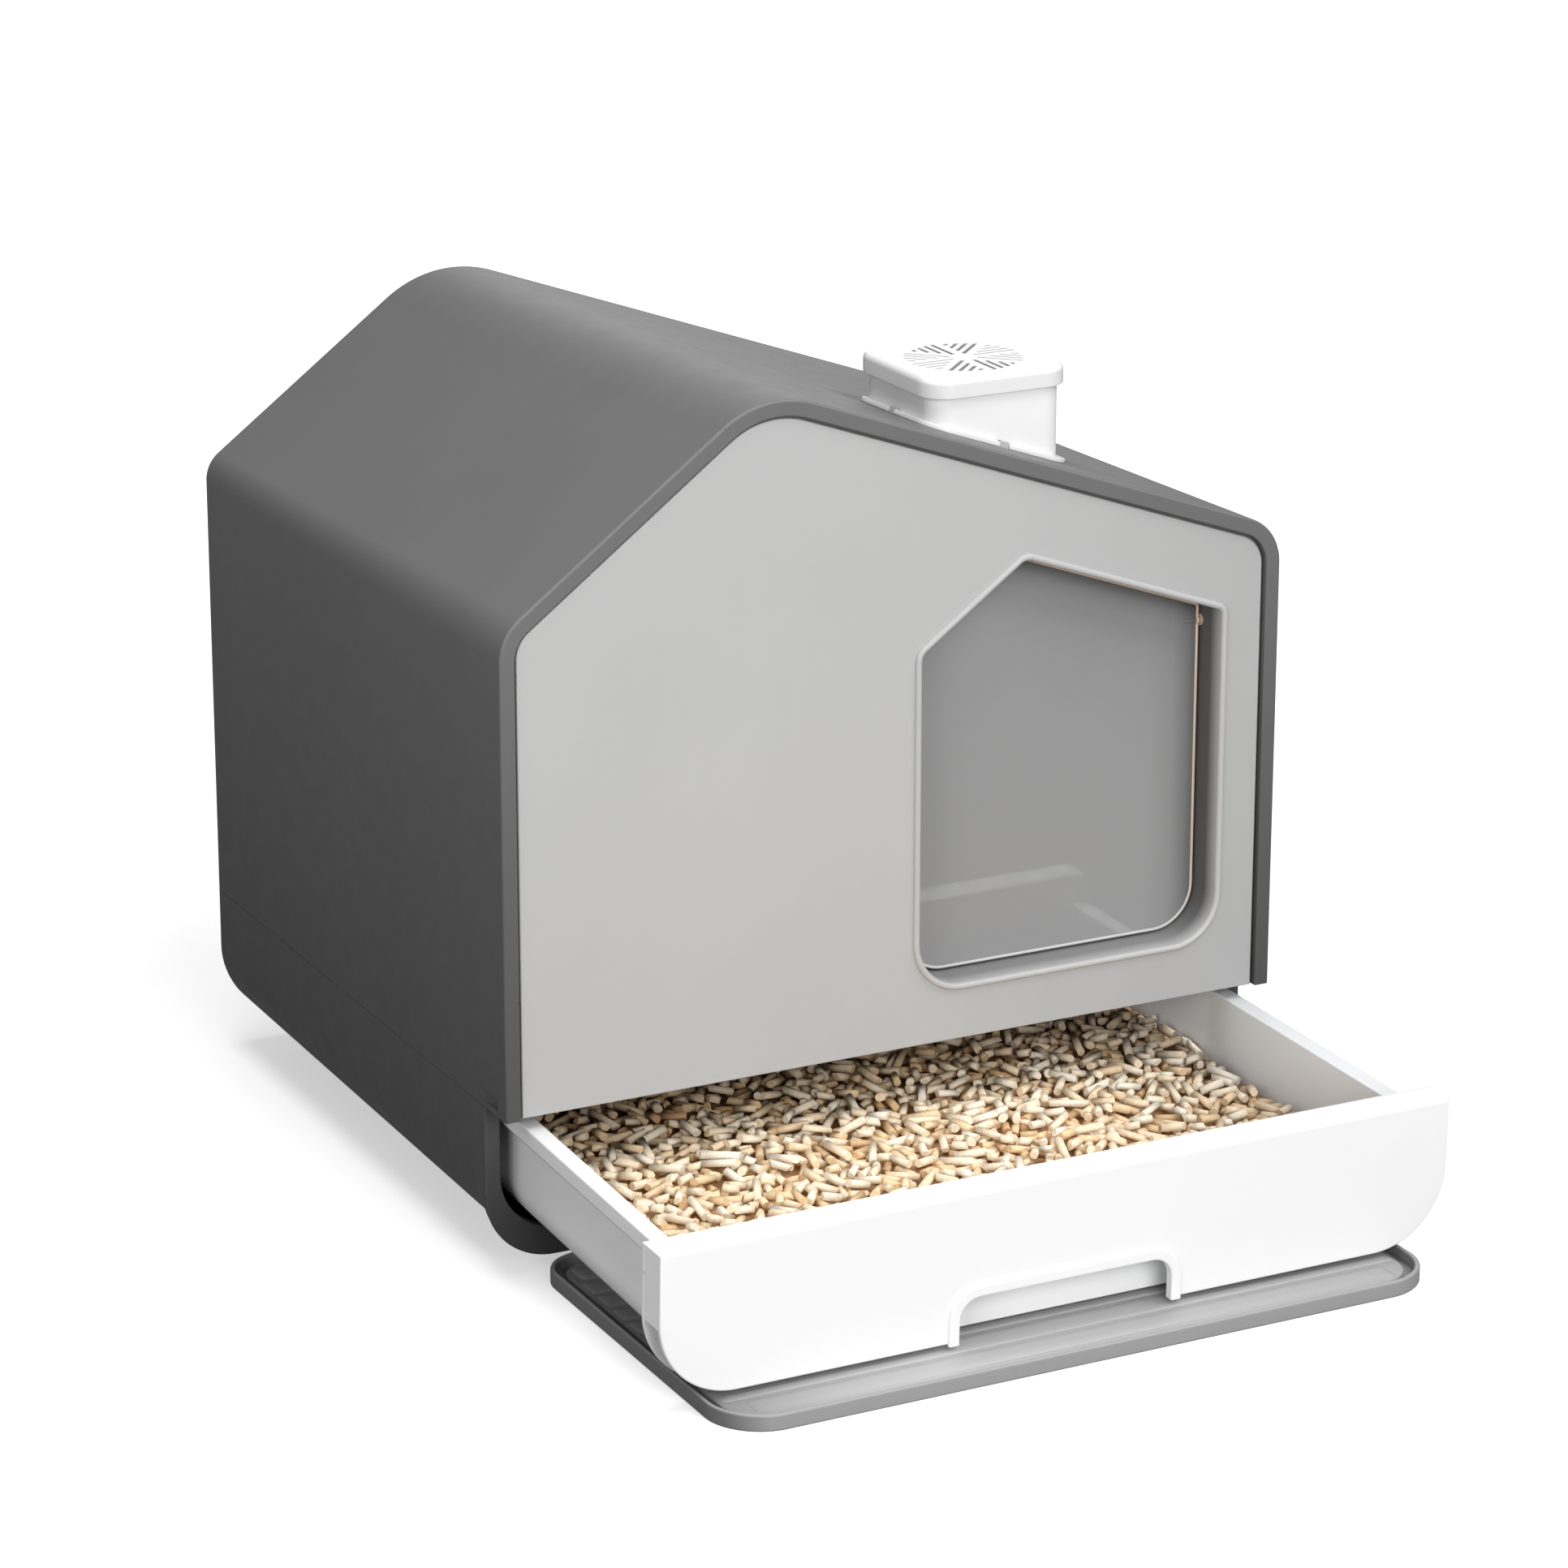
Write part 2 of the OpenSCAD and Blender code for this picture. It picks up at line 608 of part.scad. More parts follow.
module drawer_tub() {
    stop_y = drawer_open + lip_back + pad_gap;
    color(white) in_drawer() difference() {
        union() {
            upright(front_wall_y, front_wall_t) polygon(fascia(0, fascia_down + front_wall_extra));
            tub_loft(fascia_depth, tub_back, tub_edge, 0, -tub_floor, tub_r);
            translate([0, 0, -tub_floor]) linear_extrude(tub_floor)
                polygon(tub_plan(fascia_depth, tub_back, 0));
            translate([0, 0, -band_h]) linear_extrude(band_h)
                polygon(tub_plan(fascia_depth, tub_back, 0));
            translate([0, 0, -tub_floor]) linear_extrude(tub_floor + guard_h)
                polygon(tub_plan(tub_back - guard_d, tub_back, 0));
            for (s = [-1, 1]) translate([s * runner_x / 2 - stop_w / 2, stop_y, -tub_h - stop_h])
                cube([stop_w, tub_wall, stop_h + tub_floor / 2]);
        }
        // the tub's inside, the hollow under its rim and the hollow in the bar along its back
        tub_loft(fascia_depth, tub_back - guard_d, tub_rim_w, tub_floor, guard_h + cut, tub_r - tub_wall);
        for (s = [-1, 1]) translate([0, 0, -band_h - cut]) linear_extrude(band_h + cut - tub_floor)
            polygon([for (p = tub_plan(fascia_depth + fit_gap, tub_back - tub_floor, 0))
                [s * (abs(p.x) - (p.x < 0 ? tub_floor : tub_edge)), p.y]]);
        translate([0, 0, -band_h - cut]) linear_extrude(band_h + cut + guard_h - tub_floor)
            polygon(tub_plan(tub_back - guard_d + tub_wall, tub_back - tub_floor, tub_rim_w));
        for (p = drawer_rivet_at) translate([p.x, 0, p.y])
            rivet_hole(front_wall_y - cut, fascia_depth + cut, drawer_rivet_r + fit_gap);
    }
}

module drawer_front() {
    lip_end = front_wall_y - pin_fit;
    color(white) in_drawer() difference() {
        union() {
            upright(0, fascia_t) polygon(fascia(0, fascia_down));
            upright(fascia_t, lip_end - fascia_t) difference() {
                polygon(fascia(0, fascia_down));
                polygon(fascia(fascia_t, fascia_down));
                translate([-hood_w, -fascia_down - cut]) square([2 * hood_w, fascia_down + cut - side_wall_down]);
            }
            for (p = drawer_rivet_at) translate([p.x, 0, p.y])
                rivet_hole(fascia_t / 2, lip_end, 2.2 * drawer_rivet_r);
        }
        upright(-cut, fascia_t + 2 * cut) polygon(handle(-fascia_t - fit_gap));
        for (p = drawer_rivet_at) translate([p.x, 0, p.y])
            rivet_hole(2 * fascia_t, fascia_depth, drawer_rivet_r + pin_fit);
    }
}

module drawer_rivets() {
    color(white) in_drawer() for (p = drawer_rivet_at) translate([p.x, 0, p.y])
        rivet(2 * fascia_t + pin_fit, fascia_depth, drawer_rivet_r);
}

module handle_trim() {
    low = -fascia_down - trim_below;
    color(white) in_drawer() intersection() {
        union() {
            upright(-handle_rise, handle_rise) difference() {
                polygon(handle(-handle_trim_w));
                polygon(handle(0));
            }
            upright(0, fascia_t + trim_behind) difference() {
                polygon(handle(-fascia_t));
                polygon(handle(0));
            }
        }
        translate([-handle_w, -cut - handle_rise, low]) cube([2 * handle_w, 2 * fascia_depth, fascia_down]);
    }
}

module litter_bed() {
    color([0.85, 0.70, 0.50]) in_drawer() tub_loft(fascia_depth + pad_gap, tub_back - guard_d - pad_gap,
        tub_rim_w + pad_gap, tub_floor + pad_gap, -litter_down, tub_r - tub_wall);
}

// ---- filter box on the roof ----

box_w = lid_w - 2 * (lid_t + lid_gap);
box_d = lid_d - 2 * (lid_t + lid_gap);
box_r = lid_r - lid_t - lid_gap;
slope = atan2(ridge_h - eave_h, hood_w / 2 + ridge_left);
roof_z = ridge_h - (filter_x + ridge_left) * tan(slope) - roof_draw * drawn(filter_y) / cos(slope);
filter_top = roof_z + lid_rise;
lid_low = filter_top - lid_h;
box_low = roof_z - box_under;
box_top = filter_top - lid_t - fit_gap;
grate_z = lid_low - pad_t - tub_floor;
grate_t = 2.4;
ledge_w = 3;

// Rounded rectangle centred on the origin
module pane(w, d, r) {
    polygon(rounded([[-w / 2, -d / 2], [w / 2, -d / 2], [w / 2, d / 2], [-w / 2, d / 2]], [r, r, r, r]));
}

module filter_column(w, d, r, z0, z1) {
    translate([filter_x, filter_y, z0]) linear_extrude(z1 - z0) pane(w, d, r);
}

// The roof's own frame under the filter box: Z stands square to the roof
module on_roof() {
    translate([filter_x, filter_y, roof_z]) rotate([0, slope, 0])
        rotate([-atan2(roof_draw, hood_depth), 0, 0]) children();
}

clip_w = 6;      // width of a clip
clip_t = 1.6;    // thickness of a clip
clip_out = 3;    // distance of a clip's middle from the box's wall
clip_hook = 1.4; // how far a clip hooks under the roof
clip_head = 0.8; // how far a clip reaches over the flange

// Repeats its children at the middle of the box's four sides, with X pointing away from the box
module at_clips() {
    on_roof() for (k = [0 : 3]) rotate(90 * k)
        translate([(k % 2 == 0 ? box_w / cos(slope) : box_d) / 2 + clip_out, 0, 0]) children();
}

// Room for the clips between two distances from their middle and two heights above the roof
module clip_gaps(x0, x1, z0, z1) {
    at_clips() translate([x0, -clip_w / 2 - fit_gap, z0]) cube([x1 - x0, clip_w + 2 * fit_gap, z1 - z0]);
}

module filter_box() {
    color(white) difference() {
        union() {
            filter_column(box_w, box_d, box_r, box_low, box_top);
            on_roof() translate([0, 0, pin_fit]) linear_extrude(box_flange_t)
                pane(box_w / cos(slope) + 2 * box_flange, box_d + 2 * box_flange, box_r + box_flange);
        }
        filter_column(box_w - 2 * box_t, box_d - 2 * box_t, box_r - box_t, grate_z, box_top + cut);
        filter_column(box_w - 2 * box_t - 2 * ledge_w, box_d - 2 * box_t - 2 * ledge_w,
            box_r - box_t - ledge_w, grate_z - ledge_w, grate_z + cut);
        filter_column(box_w - 2 * box_t, box_d - 2 * box_t, box_r - box_t, box_low - cut, grate_z - ledge_w);
        clip_gaps(-clip_t / 2 - fit_gap, 2 * box_flange, -cut, box_flange_t + cut);
    }
}

// Spring clips that hook under the roof and over the box's flange
module box_clips() {
    top = 2 * pin_fit + box_flange_t;
    under = -hood_wall - pin_fit;
    half = clip_t / 2;
    color(white) at_clips() translate([0, clip_w / 2, 0]) rotate([90, 0, 0]) linear_extrude(clip_w)
        polygon([[-half, under - clip_t], [half, under - clip_t], [half + clip_hook, under - clip_head],
            [half + clip_hook, under], [half, under], [half, top + clip_head],
            [-half - clip_head, top + clip_head], [-half - clip_head, top], [-half, top]]);
}

module filter_grate() {
    w = box_w - 2 * box_t - 2 * fit_gap;
    d = box_d - 2 * box_t - 2 * fit_gap;
    bars = floor((w - 4 * ledge_w) / slot_pitch / 2);
    color(white) translate([filter_x, filter_y, grate_z]) linear_extrude(grate_t) difference() {
        pane(w, d, box_r - box_t - fit_gap);
        for (i = [-bars : bars]) translate([i * slot_pitch - slot_w, -d / 2 + 3 * ledge_w])
            square([2 * slot_w, d - 6 * ledge_w]);
    }
}

module carbon_pad() {
    color([0.12, 0.12, 0.12]) filter_column(box_w - 2 * box_t - 2 * pad_gap, box_d - 2 * box_t - 2 * pad_gap,
        box_r - box_t - pad_gap, grate_z + grate_t, grate_z + grate_t + pad_t);
}

// Eight sectors of parallel slots, each shorter than the one before
module grille() {
    for (k = [0 : 7]) rotate(45 * k) for (i = [0 : 3]) {
        off = slot_first + i * slot_pitch;
        start = off + slot_clear;
        end = sqrt(grille_r * grille_r - (off + slot_w) * (off + slot_w));
        if (end > start + slot_w) translate([start, off - slot_w / 2]) square([end - start, slot_w]);
    }
}

module filter_lid() {
    color(white) difference() {
        filter_column(lid_w, lid_d, lid_r, lid_low, filter_top);
        filter_column(lid_w - 2 * lid_t, lid_d - 2 * lid_t, lid_r - lid_t, lid_low - cut, filter_top - lid_t);
        translate([filter_x, filter_y, filter_top - lid_t - cut]) linear_extrude(lid_t + 2 * cut) grille();
    }
}

// ---- catch tray ----

module catch_tray() {
    color(mid_grey) translate([0, 0, floor_z]) difference() {
        linear_extrude(tray_h) polygon(tray_plan(0));
        translate([0, 0, tray_floor]) linear_extrude(tray_h) polygon(tray_plan(tray_rim));
    }
}

module tray_inlay() {
    edge = tray_rim + tray_channel;
    bed = rib_top - rib_h;
    ribs = floor((tray_d - 2 * edge) / rib_pitch);
    color(mid_grey) translate([0, 0, floor_z + tray_floor]) {
        linear_extrude(bed) polygon(tray_plan(edge));
        linear_extrude(rib_top) intersection() {
            polygon(tray_plan(edge + 2 * tray_rim));
            for (i = [1 : ribs]) translate([-tray_w, tray_front_y + edge + (i - 0.5) * rib_pitch])
                square([2 * tray_w, rib_pitch / 2]);
        }
    }
}

place() hood_shell();
place() front_panel();
place() panel_rivets();
place() entrance_frame();
place() flap_sheet();
place() flap_trim();
place() flap_pins();
place() base_shell();
place() feet();
place() left_runner();
place() right_runner();
place() drawer_tub();
place() drawer_front();
place() drawer_rivets();
place() handle_trim();
place() litter_bed();
place() filter_box();
place() box_clips();
place() filter_grate();
place() carbon_pad();
place() filter_lid();
place() catch_tray();
place() tray_inlay();
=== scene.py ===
import math

import bmesh
import bpy
import numpy as np
from mathutils import Matrix, Vector
from mathutils.geometry import tessellate_polygon


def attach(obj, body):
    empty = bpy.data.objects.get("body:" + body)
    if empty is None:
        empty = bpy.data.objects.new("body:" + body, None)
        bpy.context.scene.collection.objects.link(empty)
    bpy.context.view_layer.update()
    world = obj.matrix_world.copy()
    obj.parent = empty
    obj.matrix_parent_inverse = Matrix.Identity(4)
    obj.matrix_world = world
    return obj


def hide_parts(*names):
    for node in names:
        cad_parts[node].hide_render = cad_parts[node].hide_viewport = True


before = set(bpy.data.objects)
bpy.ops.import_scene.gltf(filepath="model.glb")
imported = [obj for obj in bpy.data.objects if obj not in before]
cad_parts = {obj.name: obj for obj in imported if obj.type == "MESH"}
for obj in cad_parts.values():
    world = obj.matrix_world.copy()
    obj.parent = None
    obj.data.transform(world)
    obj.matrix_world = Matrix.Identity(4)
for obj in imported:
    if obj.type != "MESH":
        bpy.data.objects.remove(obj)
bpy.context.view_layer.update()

# Sizes in millimetres, measured from the hood's front face (Y) and its lower edge (Z)
MM = 0.001
MID_Y, FLOOR_Z = 104.5, -98.684

# Hood: its box, its ridge's place left of the middle, how much it draws in to the back, its roundings
HOOD_W, HOOD_D, EAVE_H, RIDGE_H, RIDGE_L = 470.0, 424.0, 264.8, 378.0, 82.4
DRAW, ROOF_DRAW, WALL, RIM_W = 9.0, 11.0, 3.0, 8.75
EAVE_R, RIDGE_R, RIDGE_BACK_R, BACK_R = 28.5, 57.0, 71.0, 4.0
POCKET_Y, POCKET_L, POCKET_H, POCKET_D = 11.0, 22.0, 7.0, 2.6
PANEL_Y, PANEL_T, PANEL_GAP, SEAT_W, SEAT_T = 2.2, 3.0, 1.75, 6.0, 3.0
SLOPE = math.atan2(RIDGE_H - EAVE_H, HOOD_W / 2 + RIDGE_L)

# Entrance and flap: the opening's corners, its bead and tunnel, the flap's plane and hinge
ENTRY = [(10.6, 30.9), (200.6, 30.9), (200.6, 223.0), (74.9, 268.5), (10.6, 222.1)]
ENTRY_R = (28.0, 28.0, 5.5, 9.0, 9.0)
TUNNEL_IN, TUNNEL_OUT, TUNNEL_L = 1.6, 0.8, 28.0
FLAP_Y, FLAP_T, FLAP_EDGE, TRIM_W, HINGE_Z = 24.0, 2.0, 3.1, 1.3, 211.1
PIN_R, KNUCKLE_R, BOSS_R = 1.2, 2.7, 3.9

# Base: depth, front, roundings of its front, body and back, the body's start, the lip inside its mouth
BASE_H, BASE_Y = 92.7, 29.0
BASE_R, BODY_R, BODY_BACK_R, BODY_Y = 40.4, 54.5, 49.0, BASE_Y + 16
LIP_W, LIP_FLOOR, LIP_D, LIP_R = 9.0, 15.8, 8.0, 34.4
FOOT_X, FOOT_Y, FOOT_BOSS_R, FOOT_T = 150, (57, 386), 14, 3

# Drawer, in its own frame: origin on its face, at the tub's rim
DRAWER_OPEN, PITCH, RIM_DROP = 182.0, math.radians(2), 13.8
TUB_W, TUB_L, TUB_H, TUB_R, TUB_INNER_R, TUB_T = 449.0, 351.0, 67.2, 23.0, 19.0, 3.0
TUB_EDGE, TUB_RIM, BAND_H, GUARD_H, GUARD_D = 6.3, 10.3, 9.8, 18.0, 19.0
STOP_X, STOP_Y, STOP_W, STOP_D, STOP_H = 55.0, 219.3, 24.0, 4.0, 5.0
FASCIA_D, FASCIA_UP, FASCIA_DOWN, FASCIA_R, FASCIA_T = 21.3, 6.3, 75.3, 44.0, 2.6
LIP_DOWN, FRONT_WALL_T, FRONT_WALL_X = 34.6, 2.7, 1.2
FASCIA_BOSS_R, FASCIA_BOSS_Z = 4.4, -12.3
HANDLE_W, HANDLE_H, HANDLE_R, HANDLE_TRIM, HANDLE_RISE = 127.0, 24.4, 12.0, 6.1, 2.0
TUB_BACK = FASCIA_D + TUB_L

# Filter box, its flange on the roof, its lid with the grille, its grate and pad
FILTER_X, FILTER_Y, FILTER_TOP = 83.0, 86.5, 358.4
LID_W, LID_D, LID_H, LID_R, LID_T = 88.0, 89.0, 10.6, 16.0, 2.5
BOX_W, BOX_D, BOX_R, BOX_T, BOX_H = 81.0, 82.0, 12.5, 2.2, 49.0
FLANGE, FLANGE_T, LEDGE, FIT = 4.4, 2.4, 3.0, 0.2
GRILLE_R, SLOT_W, SLOT_PITCH, SLOT_FIRST, SLOT_CLEAR = 32.8, 2.15, 4.95, 2.0, 5.4
PAD_T, GRATE_T = 12.0, 2.4
GRATE_Z = FILTER_TOP - LID_H - PAD_T - LEDGE

# Catch tray and its inlay
TRAY_W, TRAY_TAPER, TRAY_D, TRAY_H, TRAY_FLOOR = 424.8, 8.0, 238.0, 9.0, 2.2
TRAY_R, INLAY_EDGE, RIB_PITCH, RIB_SHARE = (31.5, 31.5, 24.0, 24.0), 8.5, 19.4, 0.86
TRAY_BACK = BASE_Y - 6.0
TRAY_FRONT = TRAY_BACK - TRAY_D

# Litter: how many pellets are dropped, how many spots each one tries, and the sizes of pellets and heap
PELLETS, TRIES, PELLET_R, PELLET_SIDES = 18000, 6, 2.5, 8
LITTER_TOP, LITTER_LOW, GROUND_CELL, GROUND_HALF = -35.3, -44.0, 0.8, 220

FASCIA_STEPS = 20                # facets of the drawer front's two arcs
BODY_STATIONS = (330, 220, 110)  # where the hood and the base have a row of their own along their length


# ---- outlines

def vec(*a):
    return np.array(a, float)


def unit(v):
    return v / np.linalg.norm(v)


def inset(pts, by):
    """Moves each edge of an anticlockwise outline inwards; edge i starts at point i."""
    out, n = [], len(pts)
    for i, here in enumerate(pts):
        e1, e2 = unit(here - pts[i - 1]), unit(pts[(i + 1) % n] - here)
        n1, n2 = vec(-e1[1], e1[0]), vec(-e2[1], e2[0])
        c, before, after = n1 @ n2, by[i - 1], by[i]
        out.append(here + (n1 * (before - after * c) + n2 * (after - before * c)) / (1 - c * c))
    return out


def corner(a, b, c, r, steps):
    """Points of the arc of radius r that rounds the corner b between a and c."""
    u, w = unit(a - b), unit(c - b)
    half = math.acos(max(-1, min(1, u @ w))) / 2
    mid = b + unit(u + w) * r / math.sin(half)
    p, q = b + u * r / math.tan(half) - mid, b + w * r / math.tan(half) - mid
    start = math.atan2(p[1], p[0])
    turn = (math.atan2(q[1], q[0]) - start + 3 * math.pi) % (2 * math.pi) - math.pi
    return [mid + r * vec(math.cos(start + turn * i / steps), math.sin(start + turn * i / steps))
            for i in range(steps + 1)]


def rounded(pts, radii, steps=14):
    """The outline with its corners rounded, each by its own radius."""
    out, n = [], len(pts)
    for i, p in enumerate(pts):
        out += corner(pts[i - 1], p, pts[(i + 1) % n], radii[i], steps) if radii[i] > 0 else [p]
    return out


def house(y, extra, low=0.0):
    """The hood's section at a distance y, moved inwards by extra; it starts at the lower right."""
    t, h = y / HOOD_D, HOOD_W / 2
    side, roof = DRAW * t + extra, ROOF_DRAW * t + extra
    pts = [vec(-h, low), vec(h, low), vec(h, EAVE_H), vec(-RIDGE_L, RIDGE_H), vec(-h, EAVE_H)]
    eave, ridge = max(EAVE_R - side, 1), max(RIDGE_R + (RIDGE_BACK_R - RIDGE_R) * t - extra, 1)
    loop = rounded(inset(pts, [0, side, roof, roof, side]), [0, 0, eave, ridge, eave], 18)
    return loop[1:] + loop[:1]


def trough(y, side, under, r, top=-0.3):
    """The base's section, from its upper left down and round to its upper right."""
    d, h = DRAW * y / HOOD_D, HOOD_W / 2
    pts = [vec(-h, -BASE_H), vec(h, -BASE_H), vec(h, top), vec(-h, top)]
    loop = rounded(inset(pts, [d + under, d + side, 0, d + side]), [r, r, 0, 0], 18)
    return loop[-1:] + loop[:-1]


def body_r(y, extra):
    """Rounding of the base's lower edges at a distance y behind its front, moved inwards by extra."""
    return max(BODY_R + (BODY_BACK_R - BODY_R) * (y - BODY_Y) / (HOOD_D - BODY_Y) - extra, 1)


def entry(d):
    """The entrance's outline along the middle of its bead, moved inwards by d."""
    return rounded(inset([vec(*p) for p in ENTRY], [d] * 5), [max(r - d, 0.8) for r in ENTRY_R])


def fascia(d, down=FASCIA_DOWN):
    """The drawer front's outline, from its lower left arc round to its upper left corner."""
    h = HOOD_W / 2
    pts = [vec(-h, -down), vec(h, -down), vec(h, FASCIA_UP), vec(-h, FASCIA_UP)]
    return rounded(inset(pts, [d] * 4), [FASCIA_R - d, FASCIA_R - d, 0, 0], FASCIA_STEPS)


def handle(d):
    """The handle opening's outline, from its lower right up and round to its lower left."""
    h, top, low = HANDLE_W / 2, HANDLE_H - FASCIA_DOWN, -FASCIA_DOWN - 4
    pts = [vec(-h, low), vec(h, low), vec(h, top), vec(-h, top)]
    loop = rounded(inset(pts, [0, d, d, d]), [0, 0, HANDLE_R - d, HANDLE_R - d], 12)
    return loop[1:] + loop[:1]


def tub_half(y):
    """Half the width of the tub's rim at a distance y behind the drawer's face."""
    return TUB_W / 2 - DRAW * (y - FASCIA_D) / HOOD_D


def tray_plan(d):
    """The tray's outline seen from above, moved inwards by d."""
    h = TRAY_W / 2
    b = h - TRAY_TAPER / 2
    pts = [vec(-h, TRAY_FRONT), vec(h, TRAY_FRONT), vec(b, TRAY_BACK), vec(-b, TRAY_BACK)]
    return rounded(inset(pts, [d] * 4), [max(r - d, 1) for r in TRAY_R])


def pane(w, d, r, steps=12):
    """A rounded rectangle around the origin."""
    return rounded([vec(-w / 2, -d / 2), vec(w / 2, -d / 2), vec(w / 2, d / 2), vec(-w / 2, d / 2)],
                   [r] * 4, steps)


def turns(steps):
    """The angles of a quarter circle in even steps."""
    return [math.pi / 2 * k / steps for k in range(steps + 1)]


def quarter(r, steps=4):
    """(along, across) of a rounded edge of radius r: from (0, r) to (r, 0)."""
    return [(r * (1 - math.cos(a)), r * (1 - math.sin(a))) for a in turns(steps)]


# ---- mesh building

def place(p):
    """From the hood's frame in millimetres to the object's frame in metres."""
    return Vector((p[0] * MM, (p[1] - MID_Y) * MM, (p[2] - FLOOR_Z) * MM))


def in_drawer(p):
    """From the drawer's own frame (origin on its face, at the tub's rim) to the object's."""
    c, s = math.cos(PITCH), math.sin(PITCH)
    return place((p[0], p[1] * c - p[2] * s - DRAWER_OPEN, p[1] * s + p[2] * c - RIM_DROP))


ROOF_MID_Z = (RIDGE_H - (FILTER_X + RIDGE_L) * math.tan(SLOPE)
              - ROOF_DRAW * FILTER_Y / HOOD_D / math.cos(SLOPE))
ROOF_TURN = Matrix.Rotation(SLOPE, 3, "Y") @ Matrix.Rotation(-math.atan2(ROOF_DRAW, HOOD_D), 3, "X")


def on_roof(p):
    """From the roof's own frame under the filter box, Z square to the roof, to the object's."""
    return place(ROOF_TURN @ Vector(p) + Vector((FILTER_X, FILTER_Y, ROOF_MID_Z)))


class Shell:
    """Collects rows of points and the faces between them."""

    def __init__(self, at=place):
        self.at, self.co, self.faces = at, [], []

    def row(self, pts):
        start = len(self.co)
        self.co += [self.at(p) for p in pts]
        return list(range(start, len(self.co)))

    def bridge(self, a, b, closed=True):
        n = len(a)
        for i in range(n if closed else n - 1):
            j = (i + 1) % n
            self.faces.append((a[i], a[j], b[j], b[i]))

    def fill(self, *loops):
        flat = [i for loop in loops for i in loop]
        tris = tessellate_polygon([[self.co[i] for i in loop] for loop in loops])
        self.faces += [tuple(flat[i] for i in t) for t in tris]

    def strips(self, rows, closed=True, ring=False):
        for a, b in zip(rows, rows[1:] + (rows[:1] if ring else [])):
            self.bridge(a, b, closed)

    def stack(self, rows, closed=True):
        """Bridges the rows and fills the first and the last."""
        self.strips(rows, closed)
        self.fill(rows[0])
        self.fill(rows[-1])

    def rod(self, a, b, r, steps=24, bevel=0.3):
        """A round rod from a to b with small rounded ends."""
        a, b = Vector(a), Vector(b)
        d = (b - a).normalized()
        u = d.orthogonal().normalized()
        v = d.cross(u)
        rows = []
        length = (b - a).length
        for at, rr in ((0, r - bevel), (bevel, r), (length - bevel, r), (length, r - bevel)):
            rows.append(self.row([a + d * at + (u * math.cos(t) + v * math.sin(t)) * rr
                                  for t in (2 * math.pi * k / steps for k in range(steps))]))
        self.stack(rows)

    def mesh(self, name):
        me = bpy.data.meshes.new(name)
        me.from_pydata([tuple(c) for c in self.co], [], self.faces)
        return me


def add_object(name, data):
    o = bpy.data.objects.new(name, data)
    bpy.context.scene.collection.objects.link(o)
    return o


def settle(me, angle=34):
    """Faces outwards and smooth, with sharp edges where the surface turns by more than angle."""
    bm = bmesh.new()
    bm.from_mesh(me)
    bmesh.ops.remove_doubles(bm, verts=bm.verts, dist=1e-7)
    bmesh.ops.dissolve_degenerate(bm, edges=bm.edges, dist=1e-7)
    bmesh.ops.recalc_face_normals(bm, faces=bm.faces)
    limit = math.radians(angle)
    for f in bm.faces:
        f.smooth = True
    for e in bm.edges:
        e.smooth = len(e.link_faces) == 2 and e.calc_face_angle(0) < limit
    bm.to_mesh(me)
    bm.free()


def piece(name, shell, material, body, slot, *nodes, angle=34, cutters=(), weighted=True):
    """A visible piece made from the shell, cut by the cutters, which stands for the CAD nodes."""
    me = shell.mesh(name)
    settle(me, angle)
    o = add_object(name, me)
    for i, cutter in enumerate(cutters):
        cm = cutter.mesh(name + "_cut%d" % i)
        settle(cm)
        co = add_object(cm.name, cm)
        m = o.modifiers.new("cut", "BOOLEAN")
        m.object, m.operation, m.solver = co, "DIFFERENCE", "EXACT"
        bpy.context.view_layer.update()
        done = bpy.data.meshes.new_from_object(o.evaluated_get(bpy.context.evaluated_depsgraph_get()))
        o.modifiers.clear()
        old, o.data = o.data, done
        bpy.data.objects.remove(co)
        bpy.data.meshes.remove(old)
    if cutters:
        settle(o.data, angle)
    o.data.materials.clear()
    o.data.materials.append(material)
    if weighted:
        m = o.modifiers.new("normals", "WEIGHTED_NORMAL")
        m.keep_sharp, m.weight = True, 80
    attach(o, body)
    if nodes:
        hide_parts(*nodes)
    return o


# ---- materials

def even(*stops):
    """Stops of a ramp in plain greys, from (place, value) pairs."""
    return [(at, (v, v, v)) for at, v in stops]


# painted shade along an edge: from none to deep shade at the edge itself
EDGE_SHADE = even((0.0, 1), (0.5, 0.91), (0.8, 0.7), (1.0, 0.38))


